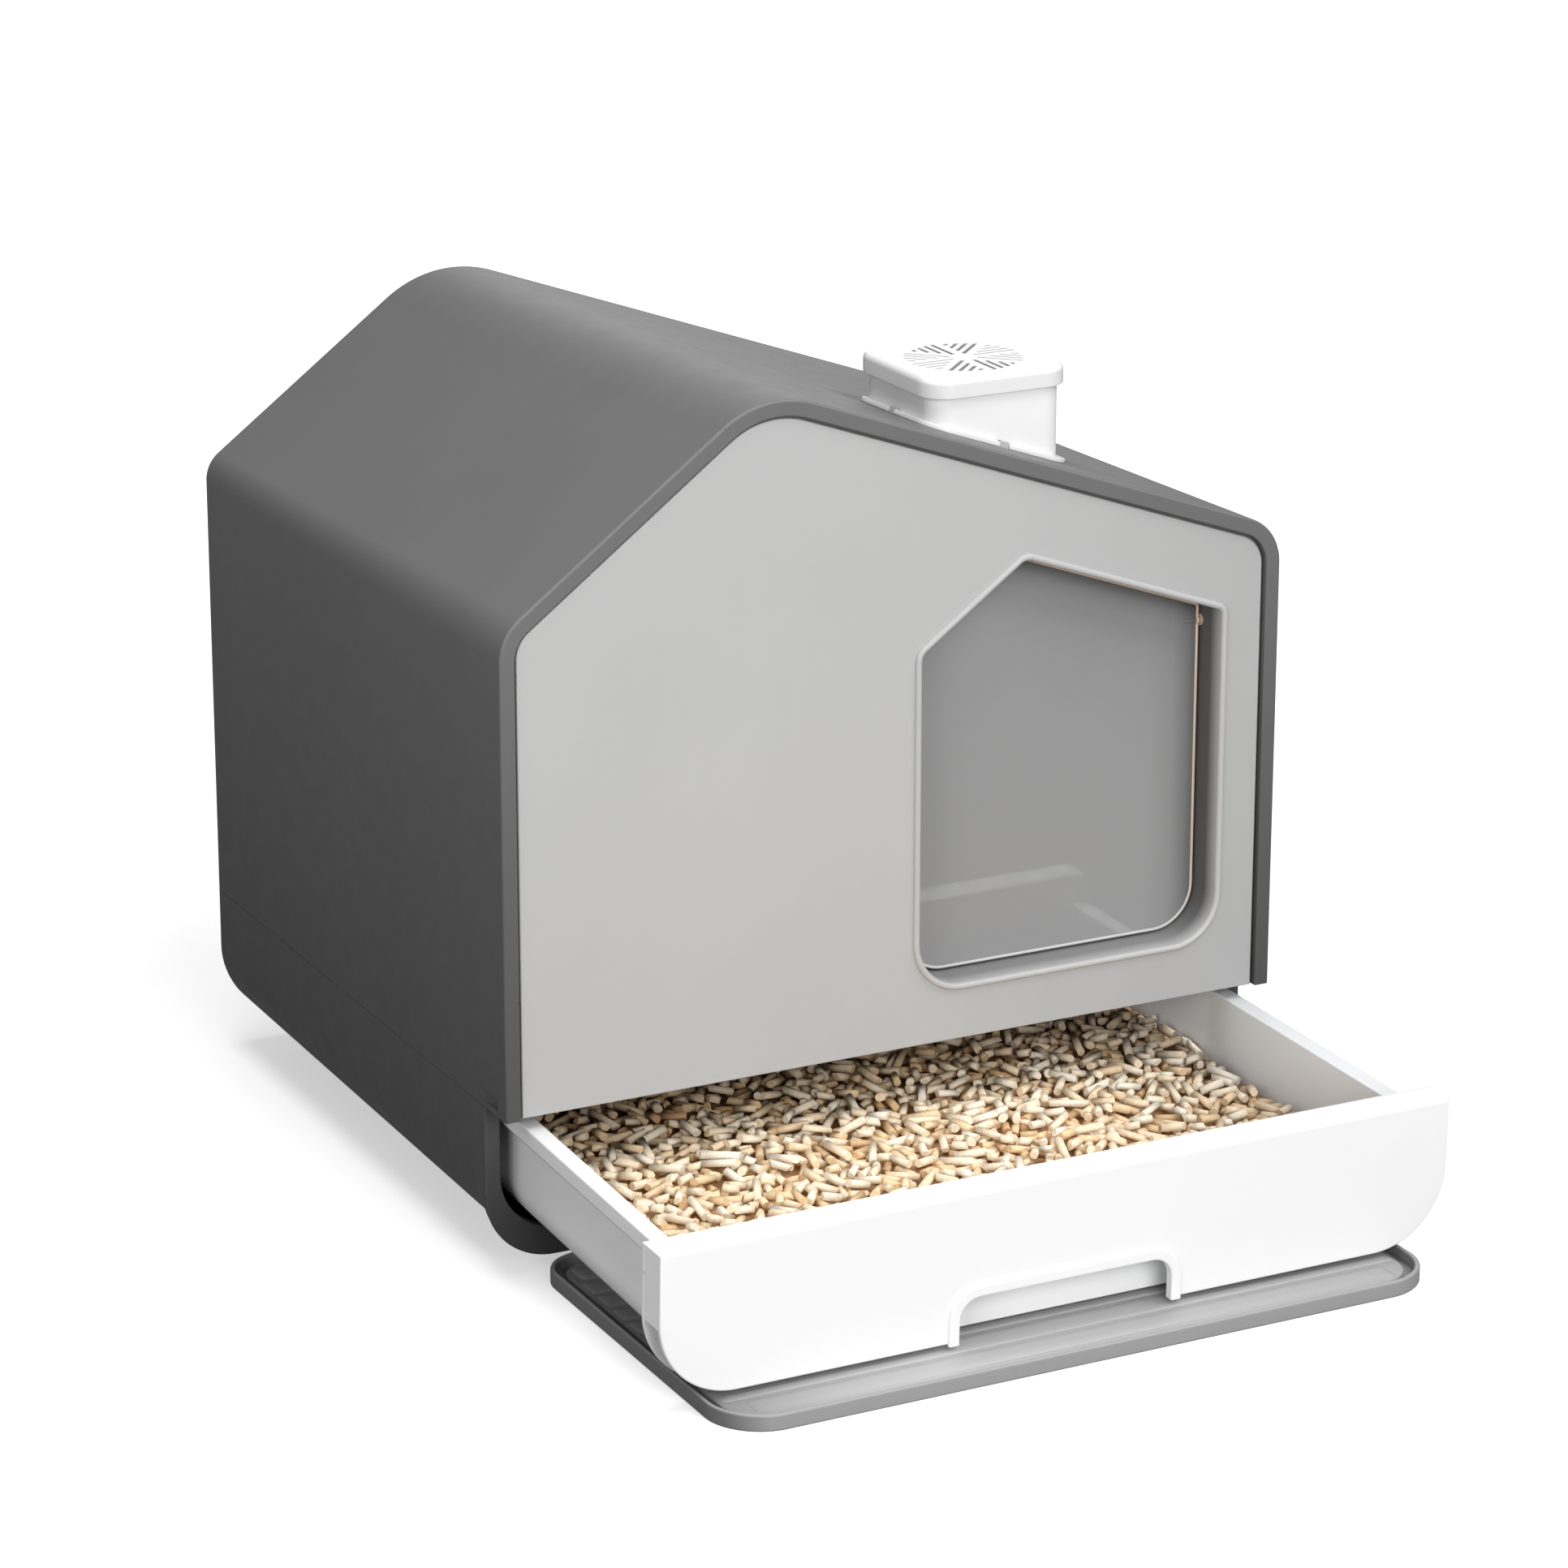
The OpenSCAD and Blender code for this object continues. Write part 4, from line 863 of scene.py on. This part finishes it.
def pellets():
    """Pressed wood pellets, dropped one by one on a height map so that each lies on those below."""
    rng = np.random.default_rng(17)
    cell, n, spread, wall_gap = GROUND_CELL, PELLET_SIDES, 205, 2.0
    shortest, longest, max_tilt, settled = 6, 22, 0.22, 0.92
    y0, y1 = FASCIA_D + 3.5, TUB_BACK - GUARD_D - 1.5
    ground = np.full((int(2 * GROUND_HALF / cell), int((y1 - y0) / cell)), LITTER_LOW)
    ring = [(math.cos(2 * math.pi * k / n), math.sin(2 * math.pi * k / n)) for k in range(n)]
    co, faces, tones = [], [], []
    for _ in range(PELLETS):
        spots = rng.uniform((-spread, y0 + 2), (spread, y1 - 2), (TRIES, 2))
        columns = ((spots[:, 0] + GROUND_HALF) / cell).astype(int)
        heights = ground[columns, ((spots[:, 1] - y0) / cell).astype(int)]
        x, y = spots[heights.argmin()]
        half_w = tub_half(y) - TUB_RIM - wall_gap
        length = float(np.clip(rng.gamma(6.0, 2.0), shortest, longest))
        r = PELLET_R * rng.uniform(0.88, 1.03)
        yaw = rng.uniform(0, math.pi)
        dx, dy = math.cos(yaw), math.sin(yaw)
        ex = abs(dx) * length / 2 + r * abs(dy)
        ey = abs(dy) * length / 2 + r * abs(dx)
        x = float(np.clip(x, -half_w + ex, half_w - ex))
        y = float(np.clip(y, y0 + ey, y1 - ey))

        # the patch of ground under the pellet, measured along and across it
        i0, i1 = int((x - ex + GROUND_HALF) / cell), int((x + ex + GROUND_HALF) / cell) + 1
        j0, j1 = int((y - ey - y0) / cell), int((y + ey - y0) / cell) + 1
        gx = (np.arange(i0, i1) + 0.5) * cell - GROUND_HALF - x
        gy = (np.arange(j0, j1) + 0.5) * cell + y0 - y
        along = gx[:, None] * dx + gy[None, :] * dy
        across = -gx[:, None] * dy + gy[None, :] * dx
        inside = (abs(along) < length / 2) & (abs(across) < r)
        left, right = inside & (along < 0), inside & (along >= 0)
        part = ground[i0:i1, j0:j1]
        if part.shape != inside.shape or not left.any() or not right.any():
            continue

        # it tilts to the highest point under each half, and settles a little into what is loose
        bulge = np.sqrt(np.maximum(r * r - across * across, 0))
        lift = part + (r - bulge)
        zl, zr = lift[left].max(), lift[right].max()
        al, ar = along[left][lift[left].argmax()], along[right][lift[right].argmax()]
        tilt = float(np.clip((zr - zl) / max(ar - al, 3.0), -max_tilt, max_tilt))
        rest = np.quantile((lift - tilt * along)[inside], settled)
        if rest + r > LITTER_TOP:
            continue
        top = rest + tilt * along + r + bulge
        ground[i0:i1, j0:j1] = np.where(inside, np.maximum(part, top), part)

        # its two ends are broken off a little askew
        axis = Vector((dx, dy, tilt)).normalized()
        side = Vector((-dy, dx, 0))
        up = axis.cross(side)
        mid = Vector((x, y, rest + r))
        start = len(co)
        skew = rng.uniform(-0.5, 0.5, 4)
        for end in (0, 1):
            for c, d in ring:
                reach = (end - 0.5) * length + (skew[2 * end] * c + skew[2 * end + 1] * d) * r
                co.append(in_drawer(mid + axis * reach + (side * c + up * d) * r * rng.uniform(0.9, 1.0)))
        for k in range(n):
            a, b = start + k, start + (k + 1) % n
            faces.append((a, b, b + n, a + n))
        faces.append(tuple(range(start + n - 1, start - 1, -1)))
        faces.append(tuple(range(start + n, start + 2 * n)))
        # pellets lower in the heap get a darker tone: painted shade between the pellets
        tone = float(np.clip(rng.normal(0.7, 0.17) + 0.07 * (rest + 38.5), 0.05, 1))
        tones += [tone] * n + [max(tone - 0.08, 0.1)] * 2

    bed = litter_base(y0, y1)
    bed_faces = [tuple(i + len(co) for i in f) for f in bed.faces]
    me = bpy.data.meshes.new("litter_pellets")
    me.from_pydata([tuple(c) for c in co + bed.co], [], faces + bed_faces)
    attribute = me.attributes.new("tone", "FLOAT", "FACE")
    attribute.data.foreach_set("value", np.array(tones + [0.0] * len(bed_faces), np.float32))
    me.polygons.foreach_set("use_smooth", [len(f) == 4 for f in faces] + [False] * len(bed_faces))
    me.materials.append(wood)
    o = add_object("litter_pellets", me)
    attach(o, "drawer")
    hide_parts("litter_bed")


# ---- filter box

def filter_box():
    """The box's walls with the grate's ledge inside, and its flange on the roof, notched for the clips."""
    s = Shell()
    top, low, ledge = FILTER_TOP - LID_T - FIT, FILTER_TOP - LID_H - BOX_H, BOX_T + LEDGE
    profile = [(low, 0), (top, 0), (top, BOX_T), (GRATE_Z, BOX_T), (GRATE_Z, ledge),
               (GRATE_Z - LEDGE, ledge), (GRATE_Z - LEDGE, BOX_T), (low, BOX_T)]
    rows = [s.row(at_filter(pane(BOX_W - 2 * d, BOX_D - 2 * d, BOX_R - d), z)) for z, d in profile]
    s.strips(rows, ring=True)

    s.at = on_roof
    wide = BOX_W / math.cos(SLOPE)
    notch_half, notch_depth, edge, lift, overlap = 3.2, FLANGE - 0.7, 0.3, 0.05, 0.8

    def notched(e):
        loop = pane(wide + 2 * (FLANGE - e), BOX_D + 2 * (FLANGE - e), BOX_R + FLANGE - e)
        out, half = [], notch_half + e
        for here, after in zip(loop, loop[1:] + loop[:1]):
            out.append(here)
            if np.linalg.norm(after - here) > 30:
                mid, u = (here + after) / 2, unit(after - here)
                inward = vec(-u[1], u[0])
                for along, deep in ((-half, 0), (-half, notch_depth), (half, notch_depth), (half, 0)):
                    out.append(mid + u * along + inward * deep)
        return out
    profile = [(edge, lift), (0, lift + edge), (0, FLANGE_T - 0.35), (0.4, FLANGE_T + lift)]
    outer = [s.row([(p[0], p[1], z) for p in notched(e)]) for e, z in profile]
    hole = pane(wide - 2 * overlap, BOX_D - 2 * overlap, BOX_R - 0.5)
    inner = [s.row([(p[0], p[1], z) for p in hole]) for z in (lift, FLANGE_T + lift)]
    s.strips(outer)
    s.strips(inner)
    s.fill(outer[0], inner[0])
    s.fill(outer[-1], inner[-1])
    piece("filter_box_moulded", s, box_white, "hood", WHITE, "filter_box")


def grille_slots():
    """The slots of the grille: eight groups of parallel slots, cut to a circle."""
    out, skew = [], 0.35
    for k in range(8):
        turn = math.radians(45 * k)
        c, d = math.cos(turn), math.sin(turn)
        for i in range(4):
            off = SLOT_FIRST + i * SLOT_PITCH
            start = off + SLOT_CLEAR
            end = math.sqrt(GRILLE_R ** 2 - (off + SLOT_W) ** 2)
            if end > start + SLOT_W:
                near, far = off - SLOT_W / 2, off + SLOT_W / 2
                quad = [(start, near), (end + skew, near), (end - skew, far), (start, far)]
                out.append([vec(c * x - d * y, d * x + c * y) for x, y in quad])
    return out


def filter_lid():
    """The lid: a skirt with a rounded upper edge, and a top with the grille's slots through it."""
    s = Shell()
    top, low = FILTER_TOP, FILTER_TOP - LID_H
    edge, low_edge, inner_edge, slot_edge = 3.2, 0.5, 0.8, 0.25
    stations = [(top - a, b) for a, b in quarter(edge, 7)]
    stations += [(low + b, a) for a, b in quarter(low_edge, 3)]
    stations += [(low, LID_T), (top - LID_T - inner_edge, LID_T), (top - LID_T, LID_T + inner_edge)]
    rows = [s.row(at_filter(pane(LID_W - 2 * d, LID_D - 2 * d, LID_R - d, 16), z)) for z, d in stations]
    s.strips(rows)
    tops, unders = [rows[0]], [rows[-1]]
    for quad in grille_slots():
        levels = ((inset(quad, [-slot_edge] * 4), top), (quad, top - slot_edge), (quad, top - LID_T))
        slot = [s.row(at_filter(outline, z)) for outline, z in levels]
        s.strips(slot)
        tops.append(slot[0])
        unders.append(slot[-1])
    s.fill(*tops)
    s.fill(*unders)
    piece("filter_lid_moulded", s, lid_white, "filter_cover", WHITE, "filter_lid")


def carbon_pad():
    """The pad on its grate: soft edges, and a top that domes a little."""
    s = Shell()
    low, gap = GRATE_Z + GRATE_T, 0.8
    w, d, r = BOX_W - 2 * BOX_T - gap, BOX_D - 2 * BOX_T - gap, BOX_R - BOX_T - gap / 2
    profile = [(0, 1.5), (0.5, 0.4), (3, 0.1), (6, 0), (9.4, 0.3), (10.9, 1.3), (11.5, 3), (11.8, 7),
               (11.9, 14)]
    s.stack([s.row(at_filter(pane(w - 2 * e, d - 2 * e, max(r - e, 1.5)), low + z)) for z, e in profile])
    o = piece("carbon_pad_felt", s, felt, "hood", "carbon_felt", "carbon_pad", angle=60, weighted=False)


# ---- catch tray

def catch_tray():
    """The tray: a low rim with rounded edges around its floor."""
    s = Shell()
    h = TRAY_H
    profile = [(0, 0.6), (0.5, 0.1), (1.2, 0), (h - 1.2, 0), (h - 0.4, 0.3), (h, 1.0), (h, 2.0),
               (h - 0.4, 2.7), (h - 1.2, 3.0), (3.4, 3.0), (2.5, 3.3), (TRAY_FLOOR, 4.2)]
    s.stack([s.row([(p[0], p[1], FLOOR_Z + z) for p in tray_plan(d)]) for z, d in profile])
    piece("catch_tray_moulded", s, tray_grey, "tray", "tray_grey_plastic", "catch_tray", angle=50)


def tray_inlay():
    """The inlay: a flat bed, and flat cross ribs with rounded edges that stay inside its outline."""
    s = Shell()
    low, rib_r = FLOOR_Z + TRAY_FLOOR, 3
    bed = ((0, 0), (2.2, 0), (3.0, 0.3), (3.4, 1.1))
    rib = ((3.2, 0), (3.6, 0.5), (4.0, 1.4), (4.25, 2.8), (4.4, 5))
    s.stack([s.row([(p[0], p[1], low + z) for p in tray_plan(INLAY_EDGE + d)]) for z, d in bed])
    inner = tray_plan(INLAY_EDGE + 1.3)

    def half_width(y):
        xs = []
        for a, b in zip(inner, inner[1:] + inner[:1]):
            if (a[1] - y) * (b[1] - y) <= 0 and abs(b[1] - a[1]) > 1e-9:
                xs.append(abs(a[0] + (b[0] - a[0]) * (y - a[1]) / (b[1] - a[1])))
        return min(xs)
    wide = RIB_SHARE * RIB_PITCH
    for i in range(int((TRAY_D - 2 * INLAY_EDGE) / RIB_PITCH)):
        y = TRAY_FRONT + INLAY_EDGE + 4 + i * RIB_PITCH
        half, mid = min(half_width(y + 0.3), half_width(y + wide - 0.3)), y + wide / 2
        rows = []
        for z, e in rib:
            outline = pane(2 * half - 2 * e, wide - 2 * e, max(rib_r - e, 0.6), 5)
            rows.append(s.row([(p[0], p[1] + mid, low + z) for p in outline]))
        s.stack(rows)
    piece("tray_inlay_ribbed", s, inlay_grey, "tray", "inlay_plastic", "tray_inlay", angle=50)


hood()
front_panel()
entrance()
flap()
base()
tub()
drawer_front()
handle_bead()
pellets()
filter_box()
filter_lid()
carbon_pad()
catch_tray()
tray_inlay()

for node, material in {"panel_rivets": charcoal, "feet": rubber, "left_runner": charcoal,
                       "right_runner": charcoal, "drawer_rivets": white, "box_clips": clip_grey,
                       "filter_grate": white}.items():
    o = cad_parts[node]
    o.data.materials.clear()
    o.data.materials.append(material)


# ---- stage, lights and camera

def stage():
    """A white floor: seen directly it glows, less so near the object; to most other rays it is dark."""
    me = bpy.data.meshes.new("floor")
    far = 14
    me.from_pydata([(-far, -far, 0), (far, -far, 0), (far, far, 0), (-far, far, 0)], [], [(0, 1, 2, 3)])
    o = add_object("floor", me)
    n = Nodes("floor")
    path = n.add("ShaderNodeLightPath").outputs
    direct = n.combine("MAXIMUM", path["Is Camera Ray"], path["Is Transmission Ray"])
    away = n.span(n.vector("DISTANCE", (0, 0, 0)), 0.5, 2.0, 0.45, 1.0)
    mirrored = n.span(path["Is Glossy Ray"], 0.0, 1.0, 0.0, 0.15)
    diffuse, glow, both = [n.add("ShaderNode" + kind) for kind in ("BsdfDiffuse", "Emission", "AddShader")]
    n.link(n.span(direct, 0.0, 1.0, 0.16, 0.8), diffuse.inputs["Color"])
    n.link(n.combine("MAXIMUM", n.combine("MULTIPLY", direct, away), mirrored), glow.inputs["Strength"])
    n.link(diffuse.outputs[0], both.inputs[0])
    n.link(glow.outputs[0], both.inputs[1])
    n.link(both.outputs[0], n.tree.nodes["Material Output"].inputs["Surface"])
    n.tree.nodes.remove(n.shader)
    me.materials.append(n.mat)


def sky():
    """White behind the object, and a faint white light from all around."""
    w = bpy.data.worlds.new("sky")
    bpy.context.scene.world = w
    w.use_nodes = True
    t = w.node_tree
    t.nodes.clear()
    mix = t.nodes.new("ShaderNodeMixShader")
    t.links.new(t.nodes.new("ShaderNodeLightPath").outputs["Is Camera Ray"], mix.inputs["Fac"])
    for slot, strength in ((1, 0.1), (2, 1.0)):
        background = t.nodes.new("ShaderNodeBackground")
        background.inputs["Color"].default_value = (1, 1, 1, 1)
        background.inputs["Strength"].default_value = strength
        t.links.new(background.outputs[0], mix.inputs[slot])
    t.links.new(mix.outputs[0], t.nodes.new("ShaderNodeOutputWorld").inputs["Surface"])


def lamp(name, location, target, size, energy):
    """A square lamp that shines at the target."""
    data = bpy.data.lights.new(name, "AREA")
    data.shape, data.size, data.energy = "SQUARE", size, energy
    o = add_object(name, data)
    o.location = location
    o.rotation_euler = (Vector(target) - Vector(location)).to_track_quat("-Z", "Y").to_euler()


def strip(name, location, width, depth, energy):
    """A lamp that shines straight down in a narrow band and rides on the drawer."""
    data = bpy.data.lights.new(name, "AREA")
    data.shape, data.size, data.size_y, data.energy = "RECTANGLE", width, depth, energy
    data.spread = math.radians(10)
    o = add_object(name, data)
    o.location = location
    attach(o, "drawer")


def camera():
    """The camera of the photo."""
    data = bpy.data.cameras.new("camera")
    data.sensor_fit, data.sensor_width, data.lens = "HORIZONTAL", 36.0, 127.7203
    data.clip_end = 60
    o = add_object("camera", data)
    right = Vector((0.886695, -0.462355, 0.000930))
    up = Vector((0.141773, 0.273802, 0.951279))
    forward = Vector((0.440083, 0.843363, -0.308329))
    view = Matrix((right, up, -forward)).transposed().to_4x4()
    view.translation = Vector((-1.36228, -2.57862, 1.16607))
    o.matrix_world = view
    bpy.context.scene.camera = o


stage()
sky()
lamp("key", (1.2, -1.3, 2.6), (0, 0, 0.2), 1.6, 50)
lamp("top", (-0.5, 0.1, 2.8), (0, 0, 0.2), 1.0, 31)
lamp("front", (-0.2, -2.6, 1.1), (0, 0, 0.2), 1.5, 52)
lamp("left", (-2.3, -2.0, 0.7), (0, -0.2, 0.1), 1.2, 25)
lamp("left_high", (-2.6, -0.6, 1.9), (0, -0.2, 0.1), 1.2, 13)
lamp("back", (1.5, 2.9, 1.15), (0, 0, 0.3), 1.5, 10)
# two narrow lamps inside the hood, so that the drawer's back and right rims show through the flap
strip("inside_back", (0, 0.0755, 0.13), 0.43, 0.026, 0.085)
strip("inside_right", (0.2135, -0.012, 0.11), 0.018, 0.14, 0.024)
camera()

bpy.context.scene.view_settings.view_transform = "Standard"
